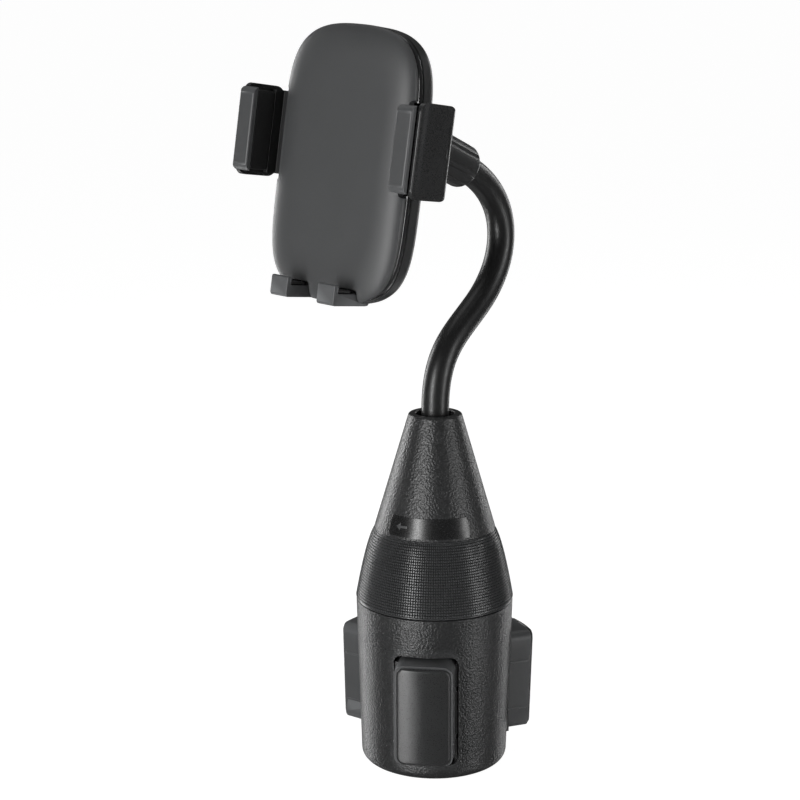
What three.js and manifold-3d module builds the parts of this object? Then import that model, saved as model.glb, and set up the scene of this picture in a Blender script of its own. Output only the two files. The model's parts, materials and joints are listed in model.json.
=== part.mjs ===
// A cup-holder phone mount: an expanding cup base, a rubber-covered gooseneck, a ball joint and a
// phone cradle with two spring jaws and a pull-out foot. Millimetres, +Z up, front along -Y.
// The origin is the centre of the base's underside.
import * as THREE from "three";
import { mergeVertices } from "three/addons/utils/BufferGeometryUtils.js";
import Module from "manifold-3d";

const wasm = await Module();
wasm.setup();

// ---------------------------------------------------------------- driving dimensions
const GAP = 0.35; // between pieces that touch
const ROUND = 36; // sides on the large round pieces

// cup base
const BASE_FOOT_R = 33.1;
const BASE_TOP_R = 35.4;
const BASE_TOP_Z = 76.4;
const BASE_FILLET = 4.2;
const BASE_WALL = 2.3;
const FLOOR_LOW_Z = 1.5;
const FLOOR_TOP_Z = 4.0;
const PAD_R = 27.8;

// expanding feet, which slide outward along their own radius
const FOOT_ANGLES = [-60, 60, 180];
const FOOT_LOW_Z = 12.4;
const FOOT_TOP_Z = 57.4;
const FOOT_HALF = 11.9;
const FOOT_OUT_R = 46;
const FOOT_LEAN = 1.4; // the top stands this much further out than the bottom
const FOOT_PAD_DEEP = 2.7;
const FOOT_IN = 23.8; // from the outer face to the inner end
const WINDOW_HALF = 14.4;
const WINDOW_LOW_Z = 8.2;
const WINDOW_TOP_Z = 59.1;
const RIB_LEVELS = [21.9, 44.3];

// scroll that drives the feet
const PIN_R = 2;
const PIN_AT_R = 25; // at rest
const SCROLL_RISE = 8; // millimetres of foot travel per radian
const FEET_IN_TRAVEL = 11;
const FEET_OUT_TRAVEL = 2.5;
const DECK_LOW_Z = 61;
const DECK_TOP_Z = 63.4;
const SCROLL_LOW_Z = 63.9;
const SCROLL_TOP_Z = 67.4;

// grip ring and cone
const RING_LOW_Z = 76.8;
const RING_TOP_Z = 109.4;
const RING_TOP_R = 27.3;
const CONE_LOW_Z = 109.75;
const CONE_LOW_R = 27.2;
const CONE_TOP_Z = 162;
const CONE_TOP_R = 11.8;
const POST_R = 7.5;
const POST_TOP_Z = 146;

// gooseneck
const NECK_R = 6.2;
const CORE_R = 3.8;
const NECK_START_Z = 150.5;
const NECK_STATIONS = [38, 70, 102, 132]; // path length from the start to each bending place
const SLEEVE_CLEAR = 1.05;
const CORE_CLEAR = 0.8;
const NECK_LIFT = 22.1; // degrees that the upper end points up

// ball joint, centred on the ball
const BALL_R = 5.8;
const BALL_AHEAD = 25; // from the end of the neck's curve to the ball
const NUT_R = 9.8;
const STEM_R = 2.5;

// cradle, measured from the middle of its rim plane, y going back
const CRADLE_LEAN = 8; // degrees
const CRADLE_ROLL = 2.7;
const RIM_AHEAD = 58.5; // from the ball to the rim plane
const BALL_UP = 9.5; // from the middle of the panel to the ball
const PANEL_HALF_W = 33.6;
const PANEL_HALF_H = 56.6;
const PANEL_BULGE = 5.5;
const NOTCH_HALF_W = 31.6;
const JAW_LOW_Z = -8;
const JAW_TOP_Z = 26.6;
const JAW_IN_X = 37.1;
const JAW_OUT_X = 44.9;
const JAW_FRONT_Y = -18.2;
const ARM_FRONT_Y = 0.7;
const ARM_BACK_Y = 7.8;
const PINION_Z = (JAW_LOW_Z + JAW_TOP_Z) / 2;
const PINION_TEETH = 12;
const HOUSING_HALF_W = 20;
const HOUSING_LOW_Z = -9;
const HOUSING_TOP_Z = 25;
const HOUSING_BACK_Y = 32;
const SHELL_BACK_Y = 13;
const HOOK_AT_X = 12.4;
const HOOK_HALF_W = 4.4;
const HOOK_FRONT_Y = -17.8;
const HOOK_LOW_Z = -56.2;

// ---------------------------------------------------------------- finishes
const finish = (color, roughness, metalness) =>
  new THREE.MeshStandardMaterial({ color, roughness, metalness });
const leatherGrain = () => finish(0x3a3c3e, 0.55, 0);
const softTouch = () => finish(0x4a4c4e, 0.6, 0);
const glossBlack = () => finish(0x151617, 0.25, 0);
const matteBlack = () => finish(0x1c1d1f, 0.5, 0);
const rubber = () => finish(0x17181a, 0.7, 0);
const greyPlastic = () => finish(0x55585b, 0.5, 0);
const steel = () => finish(0xa9adb1, 0.3, 1);
const acetal = () => finish(0xd9d8d2, 0.45, 0);

// ---------------------------------------------------------------- solids
function solidOf(geometry) {
  const bare = geometry.index ? geometry.toNonIndexed() : geometry.clone();
  bare.deleteAttribute("normal");
  bare.deleteAttribute("uv");
  const merged = mergeVertices(bare, 1e-4);
  const corners = merged.index.array;
  const kept = [];
  for (let i = 0; i < corners.length; i += 3) {
    const [a, b, c] = corners.slice(i, i + 3);
    if (a !== b && b !== c && c !== a) kept.push(a, b, c);
  }
  const vertProperties = merged.attributes.position.array;
  return new wasm.Manifold(new wasm.Mesh({ numProp: 3, vertProperties, triVerts: new Uint32Array(kept) }));
}

function geometryOf(solid) {
  const { vertProperties, triVerts } = solid.getMesh();
  const geometry = new THREE.BufferGeometry();
  geometry.setAttribute("position", new THREE.BufferAttribute(vertProperties, 3));
  geometry.setIndex(new THREE.BufferAttribute(triVerts, 1));
  geometry.computeVertexNormals();
  return geometry;
}

const join = (...solids) => solids.reduce((all, one) => all.add(one));
const cut = (body, ...tools) => tools.reduce((left, tool) => left.subtract(tool), body);

function box([x0, x1], [y0, y1], [z0, z1]) {
  const geometry = new THREE.BoxGeometry(Math.abs(x1 - x0), Math.abs(y1 - y0), Math.abs(z1 - z0));
  return solidOf(geometry.translate((x0 + x1) / 2, (y0 + y1) / 2, (z0 + z1) / 2));
}

// A bar with round section: along Z from z0 to z1, or along Y when axis is "y".
function rod(radius, [from, to], [u, v] = [0, 0], axis = "z", sides = 24) {
  const geometry = new THREE.CylinderGeometry(radius, radius, to - from, sides);
  if (axis === "y") return solidOf(geometry.translate(u, (from + to) / 2, v));
  return solidOf(geometry.rotateX(Math.PI / 2).translate(u, v, (from + to) / 2));
}

// A ring or disc turned about Z (or Y) from a section of [radius, height] points.
function turned(section, sides = 36, axis = "z") {
  const onAxis = section[0][0] === 0;
  const closed = onAxis ? section : [...section, section[0]];
  const geometry = new THREE.LatheGeometry(closed.map(([r, h]) => new THREE.Vector2(r, h)), sides);
  if (axis === "z") geometry.rotateX(Math.PI / 2);
  const solid = solidOf(geometry);
  if (solid.volume() > 0) return solid;
  const index = [...geometry.index.array];
  for (let i = 0; i < index.length; i += 3) [index[i], index[i + 1]] = [index[i + 1], index[i]];
  geometry.setIndex(index);
  return solidOf(geometry);
}

const tube = (outer, inner, [z0, z1], sides = 30, axis = "z") =>
  turned([[outer, z0], [outer, z1], [inner, z1], [inner, z0]], sides, axis);

const pointsShape = (points) => new THREE.Shape(points.map(([x, y]) => new THREE.Vector2(x, y)));

// Extrudes a flat shape. The shape's plane is XY (along Z), XZ (along Y) or YZ (along X).
function slab(shape, [from, to], plane = "xy", curveSegments = 6) {
  const options = { depth: to - from, bevelEnabled: false, curveSegments };
  const geometry = new THREE.ExtrudeGeometry(shape, options);
  if (plane === "xy") geometry.translate(0, 0, from);
  if (plane === "xz") geometry.translate(0, 0, -to).rotateX(Math.PI / 2);
  if (plane === "yz") geometry.translate(0, 0, from).rotateX(Math.PI / 2).rotateZ(Math.PI / 2);
  return solidOf(geometry);
}

function roundedRect([x0, x1], [y0, y1], r) {
  const shape = new THREE.Shape();
  shape.moveTo(x0 + r, y0).lineTo(x1 - r, y0);
  shape.absarc(x1 - r, y0 + r, r, -Math.PI / 2, 0);
  shape.absarc(x1 - r, y1 - r, r, 0, Math.PI / 2);
  shape.absarc(x0 + r, y1 - r, r, Math.PI / 2, Math.PI);
  shape.absarc(x0 + r, y0 + r, r, Math.PI, 1.5 * Math.PI);
  return shape;
}

// ---------------------------------------------------------------- scene graph
const mount = new THREE.Group();
const neckEnd = new THREE.Group();
const head = new THREE.Group();
const cradle = new THREE.Group();
head.add(cradle);
mount.add(neckEnd, head);

function piece(name, solid, material, parent = mount) {
  const mesh = new THREE.Mesh(geometryOf(solid), material);
  mesh.name = name;
  parent.add(mesh);
  return mesh;
}

const footDirection = (degrees, radius) => {
  const angle = THREE.MathUtils.degToRad(degrees);
  return [radius * Math.cos(angle), radius * Math.sin(angle)];
};
const about = (solid, degrees) => solid.rotate([0, 0, degrees]);

// ---------------------------------------------------------------- cup base
const POST_ANGLES = FOOT_ANGLES.map((angle) => angle + 180);
const POST_AT_R = 26;
const SCREW_HEAD_TOP_Z = 3.1;

function baseShell() {
  const fillet = [];
  for (let i = 0; i <= 4; i++) {
    const turn = (i / 4) * (Math.PI / 2);
    const r = BASE_FOOT_R - BASE_FILLET + BASE_FILLET * Math.sin(turn);
    fillet.push([r, 0.6 + BASE_FILLET - BASE_FILLET * Math.cos(turn)]);
  }
  const recess = [[0, FLOOR_LOW_Z], [PAD_R + GAP, FLOOR_LOW_Z], [PAD_R + GAP, 0.6]];
  const inside = [
    [BASE_TOP_R - BASE_WALL, BASE_TOP_Z],
    [BASE_FOOT_R - BASE_WALL, FLOOR_TOP_Z],
    [0, FLOOR_TOP_Z],
  ];
  let shell = turned([...recess, ...fillet, [BASE_TOP_R, BASE_TOP_Z], ...inside], ROUND);
  for (const angle of FOOT_ANGLES) {
    const opening = roundedRect([-WINDOW_HALF, WINDOW_HALF], [WINDOW_LOW_Z, WINDOW_TOP_Z], 3.6);
    shell = cut(shell, about(slab(opening, [20, 50], "yz", 4), angle));
  }
  for (const angle of POST_ANGLES) {
    const at = footDirection(angle, POST_AT_R);
    shell = cut(shell, rod(1.7, [0, 6], at, "z", 12), rod(3.3, [0, SCREW_HEAD_TOP_Z], at, "z", 16));
  }
  return shell;
}

function guideFrame() {
  let frame = tube(31.2, 5.45, [DECK_LOW_Z, DECK_TOP_Z], 32);
  for (const angle of FOOT_ANGLES) {
    for (const side of [-1, 1]) {
      const across = [side * (FOOT_HALF + 0.45), side * (FOOT_HALF + 1.95)];
      const inner = box([10, 27], across, [FLOOR_TOP_Z + GAP, DECK_LOW_Z + 0.4]);
      const outer = box([26, 31.5], across, [WINDOW_LOW_Z + 3.4, WINDOW_TOP_Z - 3.4]);
      const slots = RIB_LEVELS.map((level) => box([12, 40], across, [level - 1, level + 1]));
      frame = join(frame, about(cut(join(inner, outer), ...slots), angle));
    }
    const laneEnds = [PIN_AT_R - FEET_IN_TRAVEL - 2.5, PIN_AT_R + FEET_OUT_TRAVEL + 2.5];
    const lane = roundedRect(laneEnds, [-2.45, 2.45], 2.4);
    frame = cut(frame, about(slab(lane, [DECK_LOW_Z - 1, DECK_TOP_Z + 1], "xy", 4), angle));
  }
  for (const angle of POST_ANGLES) {
    const at = footDirection(angle, POST_AT_R);
    const post = rod(3.4, [FLOOR_TOP_Z + GAP, DECK_LOW_Z + 0.4], at, "z", 12);
    frame = cut(join(frame, post), rod(1.6, [0, 14], at, "z", 12));
  }
  return frame;
}

function baseScrew(angle) {
  const at = footDirection(angle, POST_AT_R);
  const screwHead = rod(2.9, [FLOOR_LOW_Z + 0.1, SCREW_HEAD_TOP_Z - 0.3], at, "z", 16);
  return join(screwHead, rod(1.3, [2, 12], at, "z", 12));
}

// One spiral slot: as the plate turns by +a, a foot moves in by SCROLL_RISE * a.
function spiralSlot() {
  const half = PIN_R + 0.45;
  const from = -FEET_IN_TRAVEL / SCROLL_RISE;
  const to = FEET_OUT_TRAVEL / SCROLL_RISE;
  const middle = (turn) => PIN_AT_R + SCROLL_RISE * turn;
  const start = from - (half + 0.6) / middle(from);
  const end = to + (half + 0.6) / middle(to);
  const steps = 12;
  const side = (offset) =>
    Array.from({ length: steps + 1 }, (_, i) => {
      const turn = start + ((end - start) * i) / steps;
      const r = middle(turn) + offset;
      return [r * Math.cos(turn), r * Math.sin(turn)];
    });
  return slab(pointsShape([...side(half), ...side(-half).reverse()]), [SCROLL_LOW_Z - 1, SCROLL_TOP_Z + 1]);
}

function scrollPlate() {
  const plate = tube(31, POST_R + 0.7, [SCROLL_LOW_Z, SCROLL_TOP_Z], 36);
  const skirt = tube(30.2, 28.2, [SCROLL_TOP_Z - 0.4, 84.6], 36);
  return cut(join(plate, skirt), ...FOOT_ANGLES.map((angle) => about(spiralSlot(), angle)));
}

function gripRing() {
  const bow = new THREE.QuadraticBezierCurve(
    new THREE.Vector2(35.3, 79.8), new THREE.Vector2(30.6, 103.6), new THREE.Vector2(RING_TOP_R, RING_TOP_Z),
  );
  const outside = bow.getPoints(4).map((point) => [point.x, point.y]);
  const inside = outside.map(([r, z]) => [r - 2.4, z]).reverse();
  const ring = turned([[33, RING_LOW_Z], [35.1, RING_LOW_Z], [35.75, 77.8], ...outside, ...inside], ROUND);
  return join(ring, tube(32.5, 22, [85, 87], ROUND));
}

const coneRadius = (z) =>
  CONE_LOW_R + ((CONE_TOP_R - CONE_LOW_R) * (z - CONE_LOW_Z)) / (CONE_TOP_Z - CONE_LOW_Z);

function coneShell() {
  const collarLow = 152.5;
  const collarTop = 155;
  const hose = NECK_R + GAP;
  const wall = 2.3;
  const skin = turned([
    [CONE_LOW_R, CONE_LOW_Z], [coneRadius(160.8), 160.8], [CONE_TOP_R - 0.9, CONE_TOP_Z], [8.7, CONE_TOP_Z],
    [8.5, collarTop], [hose, collarTop], [hose, collarLow], [coneRadius(collarLow) - wall, collarLow],
    [CONE_LOW_R - wall, CONE_LOW_Z],
  ], ROUND);
  const bossSpan = [122, 148];
  const boss = tube(POST_R + 2.4, POST_R + GAP, bossSpan, 30);
  const inside = turned([[0, bossSpan[0]], [coneRadius(bossSpan[0]) - 1, bossSpan[0]],
    [coneRadius(bossSpan[1]) - 1, bossSpan[1]], [0, bossSpan[1]]], ROUND);
  const webs = [0, 120, 240].map((angle) => about(box([POST_R + 1.2, 30], [-0.8, 0.8], bossSpan), angle));
  return join(skin, boss, ...webs.map((web) => web.intersect(inside)));
}

function footCarrier() {
  const back = FOOT_OUT_R - FOOT_IN;
  const front = FOOT_OUT_R - FOOT_PAD_DEEP - 0.3;
  const side = pointsShape([
    [back, FOOT_LOW_Z], [front - FOOT_LEAN, FOOT_LOW_Z], [front, FOOT_TOP_Z], [back, FOOT_TOP_Z],
  ]);
  const block = slab(side, [-FOOT_HALF, FOOT_HALF], "xz");
  const hollow = box(
    [back - 1, front - 4],
    [2 - FOOT_HALF, FOOT_HALF - 2],
    [FOOT_LOW_Z + 2, FOOT_TOP_Z - 2.4],
  );
  const ribAcross = [-FOOT_HALF - 1.4, FOOT_HALF + 1.4];
  const ribs = RIB_LEVELS.map((level) =>
    box([back + 1.8, front - 2.2], ribAcross, [level - 0.55, level + 0.55]));
  const pin = rod(PIN_R, [FOOT_TOP_Z - 1, SCROLL_TOP_Z - 0.6], [PIN_AT_R, 0], "z", 20);
  return join(cut(join(block, ...ribs), hollow), pin);
}

function footPad() {
  const depth = FOOT_PAD_DEEP;
  const inner = FOOT_OUT_R - depth;
  const plan = new THREE.Shape();
  const swing = Math.asin(FOOT_HALF / FOOT_OUT_R);
  plan.moveTo(inner, FOOT_HALF).lineTo(inner, -FOOT_HALF);
  plan.absarc(0, 0, FOOT_OUT_R, -swing, swing);
  const bowed = slab(plan, [FOOT_LOW_Z, FOOT_TOP_Z], "xy", 5);
  const faceOutline = roundedRect([-FOOT_HALF, FOOT_HALF], [FOOT_LOW_Z, FOOT_TOP_Z], 3.2);
  const perHeight = FOOT_LEAN / (FOOT_TOP_Z - FOOT_LOW_Z);
  const lean = [1, 0, 0, 0, 0, 1, 0, 0, perHeight, 0, 1, 0, -perHeight * FOOT_TOP_Z, 0, 0, 1];
  return bowed.intersect(slab(faceOutline, [40, 50], "yz", 4)).transform(lean);
}

piece("base_shell", baseShell(), leatherGrain());
piece("base_pad", turned([[0, 0], [PAD_R - 0.6, 0], [PAD_R, 0.6], [PAD_R, 1.15], [0, 1.15]], 32), rubber());
piece("guide_frame", guideFrame(), matteBlack());
POST_ANGLES.forEach((angle, i) => piece(`base_screw_${i + 1}`, baseScrew(angle), steel()));
piece("center_post", cut(
  join(rod(POST_R, [DECK_TOP_Z + GAP, POST_TOP_Z]), rod(5.1, [DECK_LOW_Z, DECK_TOP_Z + 1])),
  rod(5.6, [112, POST_TOP_Z + 1])), matteBlack());
piece("scroll_plate", scrollPlate(), acetal());
piece("grip_ring", gripRing(), leatherGrain());
piece("cone_shell", coneShell(), leatherGrain());
piece("cone_grommet", tube(8.1, NECK_R + GAP, [155.35, 158], 30), rubber());
FOOT_ANGLES.forEach((angle, i) => {
  const foot = new THREE.Group();
  foot.rotation.z = THREE.MathUtils.degToRad(angle);
  mount.add(foot);
  piece(`foot_carrier_${i + 1}`, footCarrier(), greyPlastic(), foot);
  piece(`foot_pad_${i + 1}`, footPad(), softTouch(), foot);
});

// ---------------------------------------------------------------- gooseneck
const inNeckPlane = (y, z) => new THREE.Vector3(0, y, z);
const liftAngle = THREE.MathUtils.degToRad(NECK_LIFT);
const neckPath = new THREE.CurvePath();
const neckMid = [32.05, 207];
const neckMidTurn = THREE.MathUtils.degToRad(35.7);
const neckTip = [20.2, 269.2];
const NECK_INSERT = 8; // how far the neck runs on straight inside the nut

function neckPoint([y, z], turn, along) {
  return inNeckPlane(y + along * Math.cos(turn), z + along * Math.sin(turn));
}

neckPath.add(new THREE.LineCurve3(inNeckPlane(0, NECK_START_Z), inNeckPlane(0, 163.5)));
neckPath.add(new THREE.CubicBezierCurve3(
  inNeckPlane(0, 163.5), inNeckPlane(0, 190.2),
  neckPoint(neckMid, neckMidTurn, -20.8), neckPoint(neckMid, neckMidTurn, 0),
));
neckPath.add(new THREE.CubicBezierCurve3(
  neckPoint(neckMid, neckMidTurn, 0), neckPoint(neckMid, neckMidTurn, 30.9),
  neckPoint(neckTip, -liftAngle, 40.3), neckPoint(neckTip, -liftAngle, 0),
));
neckPath.add(new THREE.LineCurve3(
  neckPoint(neckTip, -liftAngle, 0), neckPoint(neckTip, -liftAngle, -NECK_INSERT),
));
const neckLength = neckPath.getLength();

// The stretch of the neck's path between two path lengths.
class NeckStretch extends THREE.Curve {
  constructor(from, to) {
    super();
    Object.assign(this, { from, to });
  }
  getPoint(t) {
    const along = this.from + (this.to - this.from) * t;
    return neckPath.getPointAt(THREE.MathUtils.clamp(along / neckLength, 0, 1));
  }
}

function neckTube(outer, inner, from, to, sides) {
  const section = pointsShape(ringPoints(outer, sides));
  if (inner > 0) section.holes.push(new THREE.Path(pointsShape(ringPoints(inner, sides)).getPoints()));
  const steps = Math.round((to - from) / 6.5);
  const extrudePath = new NeckStretch(from, to);
  return solidOf(new THREE.ExtrudeGeometry(section, { steps, bevelEnabled: false, extrudePath }));
}

function ringPoints(radius, sides) {
  return Array.from({ length: sides }, (_, i) => {
    const turn = (2 * Math.PI * i) / sides;
    return [radius * Math.cos(turn), radius * Math.sin(turn)];
  });
}

const sleeveEnds = [0, ...NECK_STATIONS, neckLength];
for (let i = 0; i + 1 < sleeveEnds.length; i++) {
  const first = i === 0;
  const last = i + 2 === sleeveEnds.length;
  const from = sleeveEnds[i] + (first ? 0 : SLEEVE_CLEAR);
  const to = sleeveEnds[i + 1] - (last ? 0 : SLEEVE_CLEAR);
  piece(`neck_sleeve_${i + 1}`, neckTube(NECK_R, CORE_R + GAP, from, to, 12), rubber());
  const coreFrom = sleeveEnds[i] + (first ? 0 : CORE_CLEAR);
  const coreTo = sleeveEnds[i + 1] - (last ? 4 : CORE_CLEAR);
  let core = neckTube(CORE_R, 0, coreFrom, coreTo, 10);
  if (first) core = join(core, rod(CORE_R, [116, NECK_START_Z + 0.5], [0, 0], "z", 10));
  piece(`neck_core_${i + 1}`, core, steel());
}
piece("neck_anchor", tube(5.25, CORE_R + GAP, [116, 143], 24), steel());

// ---------------------------------------------------------------- ball joint
const ballCentre = neckPoint(neckTip, -liftAngle, -BALL_AHEAD);
neckEnd.position.copy(ballCentre);
neckEnd.rotation.x = -liftAngle;
head.position.copy(ballCentre);
head.rotation.set(-THREE.MathUtils.degToRad(CRADLE_LEAN), THREE.MathUtils.degToRad(CRADLE_ROLL), 0);

// Points on a circle of the given radius about the ball's centre, between two heights on the axis.
function arcPoints(radius, from, to, count) {
  const a = Math.asin(from / radius);
  const b = Math.asin(to / radius);
  return Array.from({ length: count + 1 }, (_, i) => {
    const turn = a + ((b - a) * i) / count;
    return [radius * Math.cos(turn), radius * Math.sin(turn)];
  });
}

function ballSocket() {
  const cup = arcPoints(6.95, -3, 6.4, 5);
  const seat = [[0, 11], [0, 8.2], [2, 8.2], ...cup.reverse()];
  return turned([[7.9, -3], [7.9, 23], [NECK_R + GAP, 23], [NECK_R + GAP, 11], ...seat], 24, "y");
}

function ringNut() {
  const back = BALL_AHEAD + 0.3;
  const body = turned([
    [NUT_R - 0.5, -6.4], [NUT_R, -5.6], [NUT_R, back - 3], [NUT_R - 0.9, back - 0.9], [NUT_R - 2, back],
    [6.7, back], [6.7, 23.4], [8.25, 23.4], [8.25, -3.4], [5.95, -3.4], [5.4, -4.2], [6.5, -6.4],
  ], 32, "y");
  const flutes = Array.from({ length: 8 }, (_, i) => {
    const turn = (2 * Math.PI * (i + 0.5)) / 8;
    const at = [(NUT_R + 1.35) * Math.cos(turn), (NUT_R + 1.35) * Math.sin(turn)];
    return rod(2.1, [-8, back + 1], at, "y", 8);
  });
  return cut(body, ...flutes);
}

function stud() {
  const flangeBack = HOUSING_BACK_Y - RIM_AHEAD + 0.3;
  return turned([
    [0, flangeBack], [9.5, flangeBack], [9.5, flangeBack + 2], [5, flangeBack + 3.4], [4.2, -14],
    [STEM_R, -11.5], [STEM_R, -6.1], [1.9, -6.1], [1.9, 4.9], [2.9, 4.9], [2.9, 5.6], [0, 5.6],
  ], 24, "y");
}

const ball = solidOf(new THREE.SphereGeometry(BALL_R, 20, 12));
piece("ball_socket", ballSocket(), matteBlack(), neckEnd);
piece("ring_nut", ringNut(), matteBlack(), neckEnd);
const linerSection = [...arcPoints(6.62, -2.4, 3.4, 3), ...arcPoints(6.1, -2.4, 3.4, 3).reverse()];
piece("ball_liner", turned(linerSection, 24, "y"), acetal(), neckEnd);
const ballCuts = [rod(2.2, [-8, 8], [0, 0], "y", 20), box([-6, 6], [4.6, 7], [-6, 6])];
piece("ball", cut(ball, ...ballCuts), steel(), head);
piece("ball_stud", stud(), steel(), head);

// ---------------------------------------------------------------- cradle
cradle.position.set(0, -RIM_AHEAD, -BALL_UP);
const SIDE_OPENING_Z = [JAW_LOW_Z - 1.2, JAW_TOP_Z + 1.2];
const TRAY_HALF = HOOK_AT_X + HOOK_HALF_W;
const SCREW_PLACES = [[-24, 40], [24, 40], [-24, -38], [24, -38]];
const FLOOR_Y = [8.3, 9.8];
const PAWL_PIVOT = [-9.5, 18.5];

// The cradle's outline, drawn in by an even margin.
function outline(inset = 0, count = 32) {
  const halfW = PANEL_HALF_W - inset;
  const halfH = PANEL_HALF_H - inset;
  const bend = (value, power) => Math.sign(value) * Math.abs(value) ** power;
  return pointsShape(Array.from({ length: count }, (_, i) => {
    const turn = (2 * Math.PI * i) / count;
    return [halfW * bend(Math.cos(turn), 2 / 2.64), halfH * bend(Math.sin(turn), 2 / 5.49)];
  }));
}

// A rounded slab whose front or back edge falls away in a quarter ellipse.
function pillow(shape, flatFrom, bulge, inset, segments) {
  const depth = 20;
  const bevel = { bevelThickness: bulge, bevelSize: inset, bevelOffset: -inset, bevelSegments: segments };
  const geometry = new THREE.ExtrudeGeometry(shape, { depth, bevelEnabled: true, ...bevel });
  return solidOf(geometry.translate(0, 0, -flatFrom - depth).rotateX(Math.PI / 2));
}

const half = (solid, [y0, y1]) => solid.intersect(box([-90, 90], [y0, y1], [-90, 90]));
const bothSides = (make) => [make(-1), make(1)];
const span = (side, x0, x1) => [side * x0, side * x1];

function facePanel() {
  const front = pillow(outline(), -1, PANEL_BULGE - 1, 13, 3);
  let panel = half(front, [-10, 0]);
  panel = cut(panel, slab(outline(3.4), [-1.6, 1], "xz"));
  const bosses = SCREW_PLACES.map(([x, z]) => rod(2.6, [-2.2, 7.9], [x, z], "y", 14));
  const notches = bothSides((side) =>
    box(span(side, NOTCH_HALF_W, 40), [-10, 10], [JAW_LOW_Z - 2.2, JAW_TOP_Z + 2]));
  const slots = bothSides((side) =>
    box(span(side, HOOK_AT_X - HOOK_HALF_W - 0.4, TRAY_HALF + 0.4), [-10, 10], [-70, HOOK_LOW_Z + 6.6]));
  const holes = SCREW_PLACES.map(([x, z]) => rod(1.35, [0.5, 9], [x, z], "y", 10));
  return cut(join(panel, ...bosses), ...notches, ...slots, ...holes);
}

function chassis() {
  const flange = cut(slab(outline(), [0.3, 3.3], "xz"), slab(outline(4.8), [-1, 5], "xz"));
  const wall = cut(slab(outline(3), [3, FLOOR_Y[1]], "xz"), slab(outline(4.8), [-1, FLOOR_Y[0]], "xz"));
  const guides = bothSides((side) => box(span(side, TRAY_HALF + 0.5, TRAY_HALF + 2), [1.4, 8.6], [-44, -24]));
  const rails = [[22.4, 23.8], [-5.3, -3.9]].map((level) => box([-23.5, 23.5], [2, 8.6], level));
  const stops = bothSides((side) => box(span(side, 7.9, 9), [3, 8.6], [PINION_Z - 2.4, PINION_Z + 2.4]));
  const pivot = rod(1.4, [9, 13.4], PAWL_PIVOT, "y", 12);
  const armGates = bothSides((side) => box(span(side, 24.5, 40), [-1, 8.15], SIDE_OPENING_Z));
  const trayGate = box([-TRAY_HALF - 0.5, TRAY_HALF + 0.5], [-1, 6.5], [-70, -47]);
  const holes = SCREW_PLACES.map(([x, z]) => rod(3, [-1, 12], [x, z], "y", 14));
  const pan = cut(join(flange, wall), ...armGates, trayGate);
  const hubHole = rod(3.1, [7, 12], [0, PINION_Z], "y", 20);
  return cut(join(pan, ...guides, ...rails, ...stops, pivot), ...holes, hubHole);
}

function rearShell() {
  const skin = half(pillow(outline(), -SHELL_BACK_Y + 5, 5, 5, 2).rotate([180, 0, 0]), [3.65, 20]);
  const hollow = join(slab(outline(2.6), [3, 10.1], "xz"), slab(outline(6), [10, 11], "xz"));
  const housingShape = (margin) => roundedRect(
    [margin - HOUSING_HALF_W, HOUSING_HALF_W - margin],
    [HOUSING_LOW_Z + margin, HOUSING_TOP_Z - margin],
    5 - margin,
  );
  const housing = slab(housingShape(0), [11.5, HOUSING_BACK_Y], "xz", 4);
  const cavity = slab(housingShape(2.3), [9, HOUSING_BACK_Y - 2.4], "xz", 4);
  const rims = SCREW_PLACES.map(([x, z]) => rod(3.8, [10.15, 12], [x, z], "y", 16));
  const shelf = box([-6, 6], [16, HOUSING_BACK_Y - 2], [10.4, 12]);
  const pinBoss = rod(3, [14.1, 17.5], [0, PINION_Z], "y", 14);
  const armGates = bothSides((side) => box(span(side, 24.5, 40), [2, 8.15], SIDE_OPENING_Z));
  const trayGate = box([-TRAY_HALF - 0.5, TRAY_HALF + 0.5], [2, 6.5], [-70, -47]);
  const buttonGate = box([-9, 9], [15, 26], [20, 30]);
  const holes = SCREW_PLACES.flatMap(([x, z]) => [
    rod(1.5, [9, 14], [x, z], "y", 10),
    rod(2.7, [11.5, 15], [x, z], "y", 14),
  ]);
  const pinHole = rod(1.55, [10, 17], [0, PINION_Z], "y", 12);
  const body = cut(join(cut(skin, hollow), housing), cavity);
  return cut(join(body, ...rims, shelf, pinBoss), ...armGates, trayGate, buttonGate, pinHole, ...holes);
}

// A pinion of module 1 with involute flanks; a tooth gap faces straight up and straight down.
const PINION_PITCH_R = PINION_TEETH / 2;
const PRESSURE = THREE.MathUtils.degToRad(20);
function pinion() {
  const baseR = PINION_PITCH_R * Math.cos(PRESSURE);
  const involute = (angle) => Math.tan(angle) - angle;
  const halfTooth = (r) =>
    Math.PI / (2 * PINION_TEETH) - 0.02 + involute(PRESSURE) - involute(Math.acos(Math.min(1, baseR / r)));
  const flank = [[4.9, baseR], [baseR, baseR], [PINION_PITCH_R, PINION_PITCH_R], [6.8, 6.8]];
  const points = [];
  for (let tooth = 0; tooth < PINION_TEETH; tooth++) {
    const middle = (2 * Math.PI * tooth) / PINION_TEETH + Math.PI / PINION_TEETH + Math.PI / 2;
    const at = (r, turn) => [r * Math.cos(middle + turn), PINION_Z + r * Math.sin(middle + turn)];
    points.push(...flank.map(([r, widthAt]) => at(r, -halfTooth(widthAt))));
    points.push(...flank.map(([r, widthAt]) => at(r, halfTooth(widthAt))).reverse());
  }
  const hub = rod(2.6, [6, 13.3], [0, PINION_Z], "y", 20);
  const bore = rod(1.5, [0, 15], [0, PINION_Z], "y", 14);
  return cut(join(slab(pointsShape(points), [2.3, 6.3], "xz"), hub), bore);
}

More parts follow.
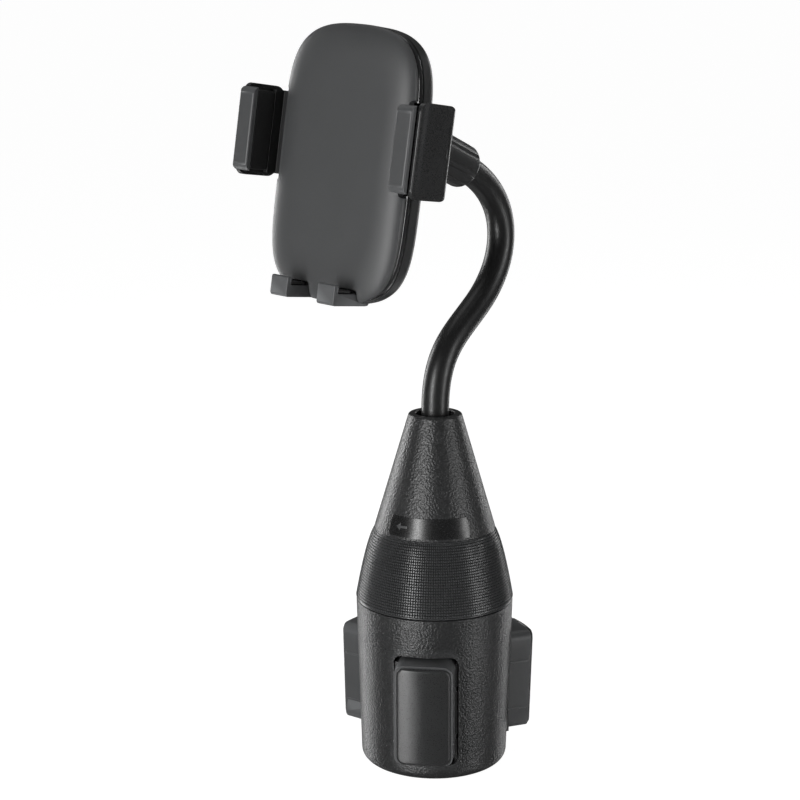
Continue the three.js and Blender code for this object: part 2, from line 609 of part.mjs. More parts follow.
function ratchetWheel() {
  const teeth = 14;
  const points = Array.from({ length: teeth }, (_, i) => {
    const turn = (2 * Math.PI * i) / teeth;
    const next = turn + (2 * Math.PI * 0.92) / teeth;
    return [[6.6, turn], [5.6, next]].map(([r, a]) => [r * Math.cos(a), PINION_Z + r * Math.sin(a)]);
  }).flat();
  return cut(slab(pointsShape(points), [10.6, 13.2], "xz"), rod(2.9, [9, 15], [0, PINION_Z], "y", 20));
}

function lockPawl() {
  const [px, pz] = PAWL_PIVOT;
  const lever = pointsShape([
    [px - 6.4, pz - 1.5], [px - 1, pz - 2.6], [px + 4.4, pz - 2.4],
    [px + 5.6, pz - 3.4], [px + 6.6, pz - 2.2], [px + 5.2, pz + 0.4],
    [px + 1, pz + 2.4], [px - 2.4, pz + 1.6], [px - 6.4, pz + 0.4],
  ]);
  return cut(slab(lever, [10.8, 13.1], "xz"), rod(1.75, [9, 15], PAWL_PIVOT, "y", 16));
}

function releaseButton() {
  const cap = box([-8.6, 8.6], [15.4, 25.6], [20, 27.6]);
  const shelf = box([-16, 8.6], [13.8, 15.8], [20.6, 22.2]);
  const toe = box([-16, -15], [10.9, 15.8], [19.45, 22.2]);
  return join(cap, shelf, toe);
}

class Helix extends THREE.Curve {
  constructor(radius, length, turns) {
    super();
    Object.assign(this, { radius, length, turns });
  }
  getPoint(t, target = new THREE.Vector3()) {
    const turn = 2 * Math.PI * this.turns * t;
    return target.set(this.radius * Math.cos(turn), this.radius * Math.sin(turn), this.length * t);
  }
}

// A coil spring along Z from the origin, wire included in its length.
function coilSpring(radius, length, turns, wire = 0.35) {
  const path = new Helix(radius, length - 2 * wire, turns);
  const options = { steps: turns * 8, bevelEnabled: false, extrudePath: path };
  const coil = new THREE.ExtrudeGeometry(pointsShape(ringPoints(wire, 4)), options);
  return solidOf(coil).translate([0, 0, wire]);
}

const BAR_Y = [2.2, 6.6];
const RACK_TRAVEL_OVER = 16; // how far a bar reaches past the pinion
const RACK_PITCH = Math.PI;

// The toothed bar of one arm: the right arm's lies below the pinion, the left arm's above it.
function rackBar(side) {
  const toward = side > 0 ? 1 : -1;
  const pitchZ = PINION_Z - toward * PINION_PITCH_R;
  const flank = Math.tan(PRESSURE);
  const halfAtPitch = RACK_PITCH / 4 - 0.12;
  const top = 0.8;
  const root = -1.05;
  const points = [[-RACK_TRAVEL_OVER, -5.7], [-RACK_TRAVEL_OVER, root]];
  for (let k = -5; k <= 5; k++) {
    const x = k * RACK_PITCH;
    for (const [sign, level] of [[-1, root], [-1, top], [1, top], [1, root]])
      points.push([x + sign * (halfAtPitch - level * flank), level]);
  }
  points.push([31, root], [31, -5.7]);
  const shape = pointsShape(points.map(([x, z]) => [side * x, pitchZ + toward * z]));
  return slab(shape, BAR_Y, "xz");
}

function arm(side) {
  const plan = pointsShape([
    [JAW_IN_X, JAW_FRONT_Y], [JAW_OUT_X, JAW_FRONT_Y], [JAW_OUT_X, JAW_FRONT_Y + 2.8],
    [JAW_OUT_X - 0.9, JAW_FRONT_Y + 2.8], [JAW_OUT_X - 0.9, ARM_BACK_Y], [29.5, ARM_BACK_Y],
    [29.5, ARM_FRONT_Y], [JAW_IN_X, ARM_FRONT_Y], [JAW_IN_X, -4.6],
    [JAW_IN_X + 1.9, -4.6], [JAW_IN_X + 1.9, JAW_FRONT_Y + 2.6], [JAW_IN_X, JAW_FRONT_Y + 2.6],
  ].map(([x, y]) => [side * x, y]));
  const sideOutline = roundedRect([JAW_FRONT_Y, ARM_BACK_Y + 12], [JAW_LOW_Z, JAW_TOP_Z], 3.6);
  const profile = slab(sideOutline, [-60, 60], "yz", 4);
  return join(slab(plan, [JAW_LOW_Z - 1, JAW_TOP_Z + 1]).intersect(profile), rackBar(side));
}

function jawCover(side) {
  const inner = JAW_OUT_X - 0.55;
  const plan = pointsShape([
    [inner, JAW_FRONT_Y + 3.2], [inner + 1, JAW_FRONT_Y + 3.2], [inner + 2.1, JAW_FRONT_Y + 4.6],
    [inner + 2.5, -4], [inner + 2.3, 4.6], [inner + 1.6, 8.2], [inner - 0.2, 10.2], [inner - 4.4, 10.4],
    [inner - 4.4, ARM_BACK_Y + 0.35], [inner, ARM_BACK_Y + 0.35],
  ].map(([x, y]) => [side * x, y]));
  const profile = roundedRect([JAW_FRONT_Y + 3.2, ARM_BACK_Y + 12], [JAW_LOW_Z - 1.8, JAW_TOP_Z + 1.6], 3.4);
  return slab(plan, [JAW_LOW_Z - 3, JAW_TOP_Z + 3]).intersect(slab(profile, [-60, 60], "yz", 4));
}

function hookTray() {
  const plate = box([-TRAY_HALF, TRAY_HALF], [1.2, 5.6], [HOOK_LOW_Z, -22]);
  const hooks = bothSides((side) => {
    const across = span(side, HOOK_AT_X - HOOK_HALF_W, HOOK_AT_X + HOOK_HALF_W);
    const ledge = box(across, [HOOK_FRONT_Y, 4], [HOOK_LOW_Z, HOOK_LOW_Z + 5]);
    return join(ledge, box(across, [HOOK_FRONT_Y, HOOK_FRONT_Y + 2.6], [HOOK_LOW_Z, HOOK_LOW_Z + 8.4]));
  });
  return join(plate, ...hooks);
}

piece("face_panel", facePanel(), softTouch(), cradle);
piece("chassis", chassis(), glossBlack(), cradle);
piece("rear_shell", rearShell(), matteBlack(), cradle);
piece("pinion", pinion(), acetal(), cradle);
piece("pinion_pin", rod(1.2, [1.4, 16.7], [0, PINION_Z], "y", 12), steel(), cradle);
piece("ratchet_wheel", ratchetWheel(), acetal(), cradle);
piece("lock_pawl", lockPawl(), steel(), cradle);
piece("release_button", releaseButton(), greyPlastic(), cradle);
const buttonSpring = piece("button_spring", coilSpring(2.6, 7.2, 5), steel(), cradle);
buttonSpring.position.set(0, 20.5, 12.4);
for (const [name, side] of [["left", -1], ["right", 1]]) {
  piece(`arm_${name}`, arm(side), matteBlack(), cradle);
  piece(`jaw_cover_${name}`, jawCover(side), softTouch(), cradle);
  const padAcross = span(side, JAW_IN_X, JAW_IN_X + 1.55);
  const pad = box(padAcross, [JAW_FRONT_Y + 2.95, -4.95], [JAW_LOW_Z + 1, JAW_TOP_Z - 1]);
  piece(`jaw_pad_${name}`, pad, rubber(), cradle);
  const spring = piece(`arm_spring_${name}`, coilSpring(2.3, 19.8, 7), steel(), cradle);
  spring.position.set(side * 9.35, 5.2, PINION_Z);
  spring.rotation.y = (side * Math.PI) / 2;
  const hookAcross = span(side, HOOK_AT_X - HOOK_HALF_W + 0.5, HOOK_AT_X + HOOK_HALF_W - 0.5);
  const padLevels = [HOOK_LOW_Z + 5.3, HOOK_LOW_Z + 6.3];
  piece(`hook_pad_${name}`, box(hookAcross, [HOOK_FRONT_Y + 2.95, -6.4], padLevels), rubber(), cradle);
}
piece("hook_tray", hookTray(), matteBlack(), cradle);
SCREW_PLACES.forEach(([x, z], i) => {
  const screw = join(rod(2.3, [11.85, 13], [x, z], "y", 14), rod(1.05, [1.2, 12.2], [x, z], "y", 10));
  piece(`cradle_screw_${i + 1}`, screw, steel(), cradle);
});

export default mount;
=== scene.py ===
# %% [markdown]
# # A cup-holder phone mount
# The mount has a cup base with three sliding feet, a knurled ring that turns to move them, a cone, a
# rubber gooseneck, and a phone cradle with two jaws and a pull-out foot.
# The mechanism comes from a CAD model. This lesson gives every piece its final surface: rounded
# edges, moulded grain, knurling and gloss. Each surface piece is drawn in millimetres in the frame
# of its own assembly, then moved into the CAD model's frame, so it rides on the right joint.

# %% Open the CAD frame
import json
import math

import bmesh
import bpy
import numpy as np
from mathutils import Matrix, Vector


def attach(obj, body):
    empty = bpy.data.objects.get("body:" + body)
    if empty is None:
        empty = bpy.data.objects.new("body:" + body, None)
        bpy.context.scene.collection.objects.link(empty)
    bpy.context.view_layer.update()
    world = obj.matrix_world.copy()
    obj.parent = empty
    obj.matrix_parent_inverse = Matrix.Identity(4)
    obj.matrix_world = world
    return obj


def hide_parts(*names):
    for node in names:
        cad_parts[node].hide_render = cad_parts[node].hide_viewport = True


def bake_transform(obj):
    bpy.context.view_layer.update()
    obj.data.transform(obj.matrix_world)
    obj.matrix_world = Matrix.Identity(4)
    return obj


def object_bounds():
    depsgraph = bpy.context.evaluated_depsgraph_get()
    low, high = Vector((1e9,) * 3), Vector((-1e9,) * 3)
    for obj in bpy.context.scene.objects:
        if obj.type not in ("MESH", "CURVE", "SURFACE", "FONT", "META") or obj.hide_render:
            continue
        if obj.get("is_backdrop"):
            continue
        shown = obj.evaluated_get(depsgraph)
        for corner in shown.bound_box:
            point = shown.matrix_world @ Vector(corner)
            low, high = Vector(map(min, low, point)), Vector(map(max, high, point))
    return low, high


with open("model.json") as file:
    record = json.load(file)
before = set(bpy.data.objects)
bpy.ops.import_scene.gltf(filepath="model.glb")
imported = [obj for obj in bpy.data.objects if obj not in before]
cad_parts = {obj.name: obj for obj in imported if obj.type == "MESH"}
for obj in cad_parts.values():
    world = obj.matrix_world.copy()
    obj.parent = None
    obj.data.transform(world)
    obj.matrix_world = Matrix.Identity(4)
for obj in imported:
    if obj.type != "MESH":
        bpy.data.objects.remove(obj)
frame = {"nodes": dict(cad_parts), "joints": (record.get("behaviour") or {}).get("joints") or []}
cad_box = [list(corner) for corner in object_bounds()]
scene = bpy.context.scene
MM = 0.001
print("CAD box in mm:", [[round(v / MM, 1) for v in corner] for corner in cad_box])

# %% [markdown]
# Five kinds of local frame are enough for the whole mount. The cup stands at the origin. Each foot
# slides along its own radius, so the feet are drawn pointing along +X and turned into place. The neck
# ends in a ball joint. The head is the same point, leaning back and rolled a little, and the cradle's
# frame lies ahead of it, in the middle of the rim. Lengths are in millimetres, angles in degrees.

# %% Local frames
FOOT_ANGLES = (-60, 60, 180)
NECK_LIFT = 22.1
CRADLE_LEAN = 8
CRADLE_ROLL = 2.7
RIM_AHEAD = 58.5
BALL_UP = 9.5


def turn_about(axis, degrees):
    return Matrix.Rotation(math.radians(degrees), 4, axis)


joint_at = {joint["name"]: Vector(joint["pos_m"])
            for joint in frame["joints"] if joint["type"] == "hinge"}
to_metres = Matrix.Scale(MM, 4)
ball_centre = Matrix.Translation(joint_at["ball_tilt"])
BASE = to_metres
FEET = [turn_about("Z", angle) @ to_metres for angle in FOOT_ANGLES]
NECK_END = ball_centre @ turn_about("X", -NECK_LIFT) @ to_metres
HEAD = ball_centre @ turn_about("X", -CRADLE_LEAN) @ turn_about("Y", CRADLE_ROLL) @ to_metres
CRADLE = HEAD @ Matrix.Translation((0, -RIM_AHEAD, -BALL_UP))
print("ball centre in mm:", [round(v / MM, 2) for v in joint_at["ball_tilt"]])

# %% [markdown]
# Nearly every moulding here is a stack of rings: a lathe part is a stack of circles, the phone
# panel is a stack of squashed ovals, and a soft-edged block is a stack of rounded rectangles. So
# one function skins a stack of rings, and every shape below only says how its rings change.

# %% Skin a stack of rings
SIDES = 160
WELD_WITHIN = 1e-5
ON_AXIS = 1e-6


def new_piece(name, verts, faces):
    mesh = bpy.data.meshes.new(name)
    mesh.from_pydata([tuple(v) for v in verts], [], faces)
    piece = bpy.data.objects.new(name, mesh)
    scene.collection.objects.link(piece)
    return piece


def face_outward(piece):
    shape = bmesh.new()
    shape.from_mesh(piece.data)
    bmesh.ops.remove_doubles(shape, verts=shape.verts, dist=WELD_WITHIN)
    bmesh.ops.recalc_face_normals(shape, faces=shape.faces)
    shape.to_mesh(piece.data)
    shape.free()
    return piece


def skin(name, rings, closed=False):
    """Joins rings of points; a ring of one point closes the shape on its axis."""
    verts, loops = [], []
    for ring in rings:
        loops.append(range(len(verts), len(verts) + len(ring)))
        verts.extend(ring)
    joined = list(zip(loops, loops[1:])) + ([(loops[-1], loops[0])] if closed else [])
    faces = []
    for low, high in joined:
        for i in range(max(len(low), len(high))):
            corners = [low[i % len(low)], low[(i + 1) % len(low)]]
            corners += [high[(i + 1) % len(high)], high[i % len(high)]]
            faces.append(list(dict.fromkeys(corners)))
    return face_outward(new_piece(name, verts, faces))


def lathe(name, profile, closed=False, axis="z", sides=SIDES):
    """Turns (radius, height) points about an axis."""
    rings = []
    for radius, height in profile:
        count = 1 if radius < ON_AXIS else sides
        turns = [2 * math.pi * i / sides for i in range(count)]
        ring = [(radius * math.cos(t), radius * math.sin(t), height) for t in turns]
        rings.append([(x, z, y) if axis == "y" else (x, y, z) for x, y, z in ring])
    return skin(name, rings, closed)


print("ring skinning ready,", SIDES, "sides on turned parts")

# %% [markdown]
# Moulded plastic never has a razor edge. The next helpers put the rounding into the outline itself:
# `rounded` turns the corners of a drawn outline, `stacked` skins layers of it, and `soft_edges` lists
# the layers of a slab whose front and back edges are rounded. An outline is a function of how far it
# is drawn in, so a fillet is only a few layers that draw in while they climb.

# %% Outlines with soft corners
def rounded(corners, closed=True, steps=5):
    """An outline from (x, y, radius) corners, each turned with its radius."""
    points = []
    last = len(corners) - 1
    for i, (x, y, radius) in enumerate(corners):
        here = Vector((x, y))
        if radius <= 0 or (not closed and i in (0, last)):
            points.append((x, y))
            continue
        before = (Vector(corners[i - 1][:2]) - here).normalized()
        after = (Vector(corners[(i + 1) % len(corners)][:2]) - here).normalized()
        half = before.angle(after) / 2
        centre = here + (before + after).normalized() * radius / math.sin(half)
        start = here + before * radius / math.tan(half) - centre
        sweep = start.angle_signed(here + after * radius / math.tan(half) - centre)
        for step in range(steps + 1):
            spoke = start.copy()
            spoke.rotate(Matrix.Rotation(-sweep * step / steps, 2))
            points.append(tuple(centre + spoke))
    return points


def card(half_w, half_h, corner, steps=6, middle=(0, 0)):
    """A rounded rectangle that can be drawn in by an even margin."""
    def outline(inset=0):
        w, h = max(half_w - inset, 0.01), max(half_h - inset, 0.01)
        r = max(min(corner - inset, w - 0.005, h - 0.005), 0.004)
        points = rounded([(w, -h, r), (w, h, r), (-w, h, r), (-w, -h, r)], steps=steps)
        return [(x + middle[0], y + middle[1]) for x, y in points]
    outline.middle = middle
    return outline


def stacked(name, outline, layers, axis="y"):
    """Stacks (inset, depth) layers of an outline; an inset of None closes it in its middle."""
    rings = []
    for inset, depth in layers:
        flat = [outline.middle] if inset is None else outline(inset)
        rings.append([{"x": (depth, u, v), "y": (u, depth, v), "z": (u, v, depth)}[axis]
                      for u, v in flat])
    return skin(name, rings)


def soft_edges(low, high, edge, steps=4):
    """Layers of a slab with rounded front and back edges."""
    layers = [(None, low)]
    for way, depth in ((1, low), (-1, high)):
        arc = [math.pi / 2 * i / steps for i in range(steps + 1)]
        arc = arc if way == 1 else arc[::-1]
        layers += [(edge * (1 - math.sin(a)), depth + way * edge * (1 - math.cos(a))) for a in arc]
    return layers + [(None, high)]


def block(name, x, y, z, corner=0.8, edge=0.4, axis="y"):
    """A soft box between x, y and z spans; its long corners lie along the axis."""
    spans = {"x": (y, z, x), "y": (x, z, y), "z": (x, y, z)}[axis]
    (u0, u1), (v0, v1), (low, high) = [sorted(s) for s in spans]
    outline = card((u1 - u0) / 2, (v1 - v0) / 2, corner, middle=((u0 + u1) / 2, (v0 + v1) / 2))
    return stacked(name, outline, soft_edges(low, high, edge), axis)


def prism(name, outline, span, axis="y"):
    """A straight bar with the given outline."""
    low, high = span
    maps = {"x": lambda u, v, d: (d, u, v), "y": lambda u, v, d: (u, d, v),
            "z": lambda u, v, d: (u, v, d)}
    verts = [maps[axis](u, v, depth) for depth in (low, high) for u, v in outline]
    n = len(outline)
    faces = [list(range(n)), list(range(n, 2 * n))]
    faces += [[i, (i + 1) % n, n + (i + 1) % n, n + i] for i in range(n)]
    return face_outward(new_piece(name, verts, faces))


def rod(radius, span, at=(0, 0), axis="y", sides=48):
    """A plain cylinder; at is its place across the axis."""
    ring = [2 * math.pi * i / sides for i in range(sides)]
    outline = [(at[0] + radius * math.cos(t), at[1] + radius * math.sin(t)) for t in ring]
    return prism("rod", outline, span, axis)


def split_rows(profile, longest=2.5):
    """Adds points along the straight runs of a profile, so that cuts stay local."""
    made = [profile[0]]
    for (r0, z0), (r1, z1) in zip(profile, profile[1:]):
        count = max(1, math.ceil(math.hypot(r1 - r0, z1 - z0) / longest))
        made += [(r0 + (r1 - r0) * k / count, z0 + (z1 - z0) * k / count)
                 for k in range(1, count + 1)]
    return made


def split_long(outline, longest=1.0):
    """Adds points along the straight runs of an outline, so that it can be bent or wrapped."""
    whole = outline(0)
    counts = [max(1, math.ceil(math.dist(a, b) / longest))
              for a, b in zip(whole, whole[1:] + whole[:1])]

    def denser(inset=0):
        points, made = outline(inset), []
        for (x, y), (next_x, next_y), count in zip(points, points[1:] + points[:1], counts):
            made += [(x + (next_x - x) * k / count, y + (next_y - y) * k / count)
                     for k in range(count)]
        return made
    denser.middle = outline.middle
    return denser


def shrinking(outline, until, reach):
    """An outline that is drawn in evenly at first and then shrinks towards its middle."""
    u0, v0 = outline.middle

    def drawn(inset=0):
        share = 1 - max(inset - until, 0) / reach
        return [(u0 + (u - u0) * share, v0 + (v - v0) * share) for u, v in outline(min(inset, until))]
    drawn.middle = outline.middle
    return drawn


print("outline helpers ready")

# %% [markdown]
# Windows, slots and screw holes are cut with the Boolean modifier, and the cut edges are softened
# with the Bevel modifier. Both are settled into the mesh straight away, so that a finished piece
# is a plain mesh whose place is in its vertices.

# %% Cut, join and soften
def settle(piece):
    """Makes a piece's modifiers part of its mesh."""
    graph = bpy.context.evaluated_depsgraph_get()
    mesh = bpy.data.meshes.new_from_object(piece.evaluated_get(graph), depsgraph=graph)
    piece.modifiers.clear()
    piece.data = mesh
    return piece


def work(piece, tools, operation):
    for tool in tools:
        step = piece.modifiers.new(operation.lower(), "BOOLEAN")
        step.object, step.operation, step.solver = tool, operation, "EXACT"
    settle(piece)
    for tool in tools:
        bpy.data.objects.remove(tool)
    return piece


def cut(piece, *tools):
    return work(piece, tools, "DIFFERENCE")


def join(piece, *others):
    return work(piece, others, "UNION")


def common(piece, tool):
    return work(piece, [tool], "INTERSECT")


def soften(piece, width, segments=2, over=50):
    """Rounds every edge that turns by more than the given angle."""
    bevel = piece.modifiers.new("soft edges", "BEVEL")
    bevel.width, bevel.segments = width, segments
    bevel.limit_method, bevel.angle_limit = "ANGLE", math.radians(over)
    bevel.use_clamp_overlap = True
    return settle(piece)


def both_sides(make):
    return [make(-1), make(1)]


print("cut, join and soften ready")

# %% [markdown]
# ## Finishes
# The mount is made of a few plastics. They differ in tone, gloss and grain, and age alike, so three
# effects are kept as node groups and shared: a spark-eroded grain, lighter convex edges (partly
# rubbing from handling, partly a painted highlight), and the faint uneven film that touching leaves.
# They put out heights, colours and masks only; the shader itself stays in each material.

# %% Shared effects
def effect(name, inputs, outputs):
    """An empty shader group with named sockets; returns its tree and a node maker."""
    tree = bpy.data.node_groups.new(name, "ShaderNodeTree")
    for in_out, sockets in (("INPUT", inputs), ("OUTPUT", outputs)):
        for socket, (kind, default) in sockets.items():
            made = tree.interface.new_socket(socket, in_out=in_out, socket_type=kind)
            if default is not None:
                made.default_value = default
    return tree, maker(tree)


def maker(tree):
    """Adds a node, sets its properties and feeds its inputs from values or other nodes."""
    def add(kind, feed=(), **settings):
        node = tree.nodes.new(kind)
        for key, value in settings.items():
            setattr(node, key, value)
        for socket, source in dict(feed).items():
            if isinstance(source, bpy.types.NodeSocket):
                tree.links.new(source, node.inputs[socket])
            else:
                node.inputs[socket].default_value = source
        return node
    return add


FLOAT, COLOUR, VECTOR = "NodeSocketFloat", "NodeSocketColor", "NodeSocketVector"

grain, add = effect(
    "spark grain",
    {"Place": (VECTOR, None), "Cells per metre": (FLOAT, 2000.0), "Pebble": (FLOAT, 0.5)},
    {"Height": (FLOAT, None), "Sparkle": (FLOAT, None)})
given = add("NodeGroupInput")
cells = add("ShaderNodeTexVoronoi", {"Vector": given.outputs["Place"],
                                     "Scale": given.outputs["Cells per metre"],
                                     "Randomness": 1.0}, feature="SMOOTH_F1")
fine = add("ShaderNodeTexNoise", {"Vector": given.outputs["Place"],
                                  "Scale": given.outputs["Cells per metre"],
                                  "Detail": 2.0, "Roughness": 0.6})
height = add("ShaderNodeMix", {0: given.outputs["Pebble"], 2: fine.outputs["Fac"],
                               3: cells.outputs["Distance"]})
sparkle = add("ShaderNodeMapRange", {"Value": fine.outputs["Fac"], "From Min": 0.45,
                                     "From Max": 0.75})
add("NodeGroupOutput", {"Height": height.outputs[0], "Sparkle": sparkle.outputs["Result"]})

edges, add = effect(
    "handled edges",
    {"Body colour": (COLOUR, (0, 0, 0, 1)), "Edge colour": (COLOUR, (1, 1, 1, 1)),
     "Wear": (FLOAT, 0.3)},
    {"Colour": (COLOUR, None), "Mask": (FLOAT, None)})
given = add("NodeGroupInput")
# Convex edges, found by pointiness, get the lighter edge colour: rubbing from handling and a painted
# highlight.
convex = add("ShaderNodeMapRange", {"Value": add("ShaderNodeNewGeometry").outputs["Pointiness"],
                                    "From Min": 0.505, "From Max": 0.6})
mask = add("ShaderNodeMath", {0: convex.outputs["Result"], 1: given.outputs["Wear"]},
           operation="MULTIPLY")
blend = add("ShaderNodeMix", {0: mask.outputs[0], 6: given.outputs["Body colour"],
                              7: given.outputs["Edge colour"]}, data_type="RGBA")
add("NodeGroupOutput", {"Colour": blend.outputs[2], "Mask": mask.outputs[0]})

touch, add = effect(
    "touch film",
    {"Place": (VECTOR, None), "Patches per metre": (FLOAT, 60.0), "Colour": (COLOUR, None),
     "Amount": (FLOAT, 0.2)},
    {"Colour": (COLOUR, None), "Film": (FLOAT, None)})
given = add("NodeGroupInput")
patches = add("ShaderNodeTexNoise", {"Vector": given.outputs["Place"],
                                     "Scale": given.outputs["Patches per metre"],
                                     "Detail": 4.0, "Roughness": 0.55, "Distortion": 0.4})
centred = add("ShaderNodeMath", {0: patches.outputs["Fac"], 1: 0.5}, operation="SUBTRACT")
film = add("ShaderNodeMath", {0: centred.outputs[0], 1: given.outputs["Amount"]},
           operation="MULTIPLY")
lift = add("ShaderNodeMath", {0: film.outputs[0], 1: 1.0}, operation="ADD")
tinted = add("ShaderNodeVectorMath", {0: given.outputs["Colour"], "Scale": lift.outputs[0]},
             operation="SCALE")
add("NodeGroupOutput", {"Colour": tinted.outputs[0], "Film": film.outputs[0]})
print("shared effects:", grain.name, "|", edges.name, "|", touch.name)

# %% [markdown]
# One function builds each finish from those effects. Colours are given as the tone that the eye
# sees, from 0 to 1, and turned into the linear value a shader wants. Grain is given as its real
# pitch and depth in millimetres, because a bump that is too deep is what makes plastic look fake.

# %% Moulded finishes
def linear(tone):
    return tone / 12.92 if tone <= 0.04045 else ((tone + 0.055) / 1.055) ** 2.4


def shade(tone, warmth=0.0):
    """A near-grey colour; a negative warmth is bluish."""
    return (linear(tone * (1 + warmth)), linear(tone), linear(tone * (1 - warmth)), 1)


def finish(name, tone, gloss, pitch=0.6, depth=0.02, pebble=0.5, wear_and_sheen=0.3, film=0.25,
           grain_shade=0.2, coat=0.0, metal=0.0, warmth=-0.012):
    material = bpy.data.materials.new(name)
    material.use_nodes = True
    tree = material.node_tree
    tree.nodes.clear()
    add = maker(tree)
    place = add("ShaderNodeTexCoord").outputs["Object"]
    uneven = add("ShaderNodeGroup", node_tree=touch)
    tree.links.new(place, uneven.inputs["Place"])
    uneven.inputs["Colour"].default_value = shade(tone, warmth)
    uneven.inputs["Amount"].default_value = film
    # The edge group lightens convex edges: partly rubbing from handling, partly a painted highlight.
    worn_and_sheened = add("ShaderNodeGroup", node_tree=edges)
    tree.links.new(uneven.outputs["Colour"], worn_and_sheened.inputs["Body colour"])
    worn_and_sheened.inputs["Edge colour"].default_value = shade(min(tone * 1.5 + 0.08, 1), warmth)
    worn_and_sheened.inputs["Wear"].default_value = wear_and_sheen
    texture = add("ShaderNodeGroup", node_tree=grain)
    tree.links.new(place, texture.inputs["Place"])
    texture.inputs["Cells per metre"].default_value = 1 / (pitch * MM)
    texture.inputs["Pebble"].default_value = pebble
    dull = add("ShaderNodeMath", {0: uneven.outputs["Film"], 1: 0.3, 2: gloss},
               operation="MULTIPLY_ADD")
    glint = add("ShaderNodeMath", {0: texture.outputs["Sparkle"], 1: -0.12, 2: dull.outputs[0]},
                operation="MULTIPLY_ADD", use_clamp=True)
    bump = add("ShaderNodeBump", {"Height": texture.outputs["Height"], "Strength": 1.0,
                                  "Distance": depth * MM})
    # The grain's height also scales the colour, darker in its valleys and lighter on its crests:
    # painted shade of the grain.
    brighter = add("ShaderNodeMath", {0: texture.outputs["Height"], 1: grain_shade, 2: 1 - grain_shade / 2},
                   operation="MULTIPLY_ADD")
    grain_shaded = add("ShaderNodeVectorMath", {0: worn_and_sheened.outputs["Colour"],
                                           "Scale": brighter.outputs[0]}, operation="SCALE")
    shader = add("ShaderNodeBsdfPrincipled", {
        "Base Color": grain_shaded.outputs[0], "Roughness": glint.outputs[0],
        "Normal": bump.outputs["Normal"], "Metallic": metal, "Coat Weight": coat,
        "Coat Roughness": 0.12})
    add("ShaderNodeOutputMaterial", {"Surface": shader.outputs["BSDF"]})
    return material


GRAINED = finish("leather-grained plastic", 0.16, 0.37, pitch=0.9, depth=0.42, pebble=0.45,
                 grain_shade=1.6)
# The knurl takes the full edge lightening, so the pyramids' crests are lighter than the grooves
# between them: painted light and shade.
KNURLED = finish("knurled plastic", 0.17, 0.32, pitch=0.4, depth=0.01, wear_and_sheen=1.0)
LABEL = finish("smooth label strip", 0.10, 0.30, pitch=0.5, depth=0.003)
PANEL = finish("soft-touch panel", 0.28, 0.50, pitch=0.35, depth=0.010, film=0.12, wear_and_sheen=0.1)
JAW = finish("satin jaw plastic", 0.29, 0.42, pitch=0.4, depth=0.008, wear_and_sheen=0.7)
COVER = finish("smooth jaw cover", 0.13, 0.32, pitch=0.4, depth=0.006, wear_and_sheen=0.8)
FOOT = finish("satin foot plastic", 0.30, 0.42, pitch=0.4, depth=0.010, wear_and_sheen=0.5)
FOOT_PAD = finish("smooth foot pad", 0.16, 0.34, pitch=0.4, depth=0.006, wear_and_sheen=0.4)
RIM = finish("polished rim", 0.13, 0.18, pitch=0.8, depth=0.002, coat=0.4, wear_and_sheen=0.2)
BLACK = finish("matte black plastic", 0.15, 0.40, pitch=0.5, depth=0.010)
HOSE = finish("glossy neck rubber", 0.10, 0.40, pitch=0.9, depth=0.004, film=0.3, wear_and_sheen=0.1)
# The arm's black is darker than the other blacks: painted shade, for the arm sits in shadow behind the
# jaw and panel.
SHADOW_BLACK = finish("dull black arm", 0.08, 0.50, pitch=0.5, depth=0.010, wear_and_sheen=0.5)
RUBBER = finish("grip rubber", 0.11, 0.62, pitch=0.45, depth=0.025, film=0.3)
STEEL = finish("turned steel", 0.66, 0.30, pitch=0.3, depth=0.004, metal=1.0, warmth=0.0)
ACETAL = finish("natural acetal", 0.84, 0.42, pitch=0.6, depth=0.006, warmth=0.02, wear_and_sheen=0.1)
print("finishes:", [m.name for m in bpy.data.materials if m.node_tree])

# %% [markdown]
# When a piece is finished it gets its material, smooth shading that breaks at real edges, its place
# in the CAD frame, and the body it rides on. It also hides the CAD pieces it stands for. Weighted
# normals let the large faces win over the small bevel faces beside them, so flats look flat.

# %% Hand a piece over
def dress(piece, place, material, slot, *nodes, sharp=34):
    piece.data.transform(place)
    piece.data.materials.clear()
    piece.data.materials.append(material)
    piece.data.polygons.foreach_set("material_index", [0] * len(piece.data.polygons))
    piece.data.polygons.foreach_set("use_smooth", [True] * len(piece.data.polygons))
    piece.data.set_sharp_from_angle(angle=math.radians(sharp))
    shading = piece.modifiers.new("even shading", "WEIGHTED_NORMAL")
    shading.keep_sharp = True
    settle(piece)
    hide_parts(*nodes)
    tris = sum(len(p.vertices) - 2 for p in piece.data.polygons)
    print(f"{piece.name}: {tris} triangles, for {', '.join(nodes)}")
    return piece


def hand_over(piece, body, place, material, slot, *nodes, sharp=34):
    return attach(dress(piece, place, material, slot, *nodes, sharp=sharp), body)


# %% [markdown]
# ## The cup
# The cup is one injection moulding: a slightly tapering wall with a round foot and three tall
# windows for the feet. A lathe profile gives the wall and floor. The windows are cut by rounded
# bars, and a bevel breaks every cut edge the way a polished mould does.

# %% Cup body
CUP_FOOT_R = 33.1
CUP_FOOT_Z = 0.6
CUP_TOP_R = 35.4
CUP_TOP_Z = 76.4
CUP_WALL = 2.3
FLOOR_Z = (1.5, 4.0)
FIT_GAP = 0.35
PAD_R = 27.8
WINDOW = card(14.4, 25.45, 3.6, middle=(0, 33.65))
SCREW_R = 26
SHANK_HOLE = (1.7, (0, 6))
HEAD_HOLE = (3.3, (0, 3.1))


def at_angle(piece, degrees):
    piece.data.transform(turn_about("Z", degrees))
    return piece


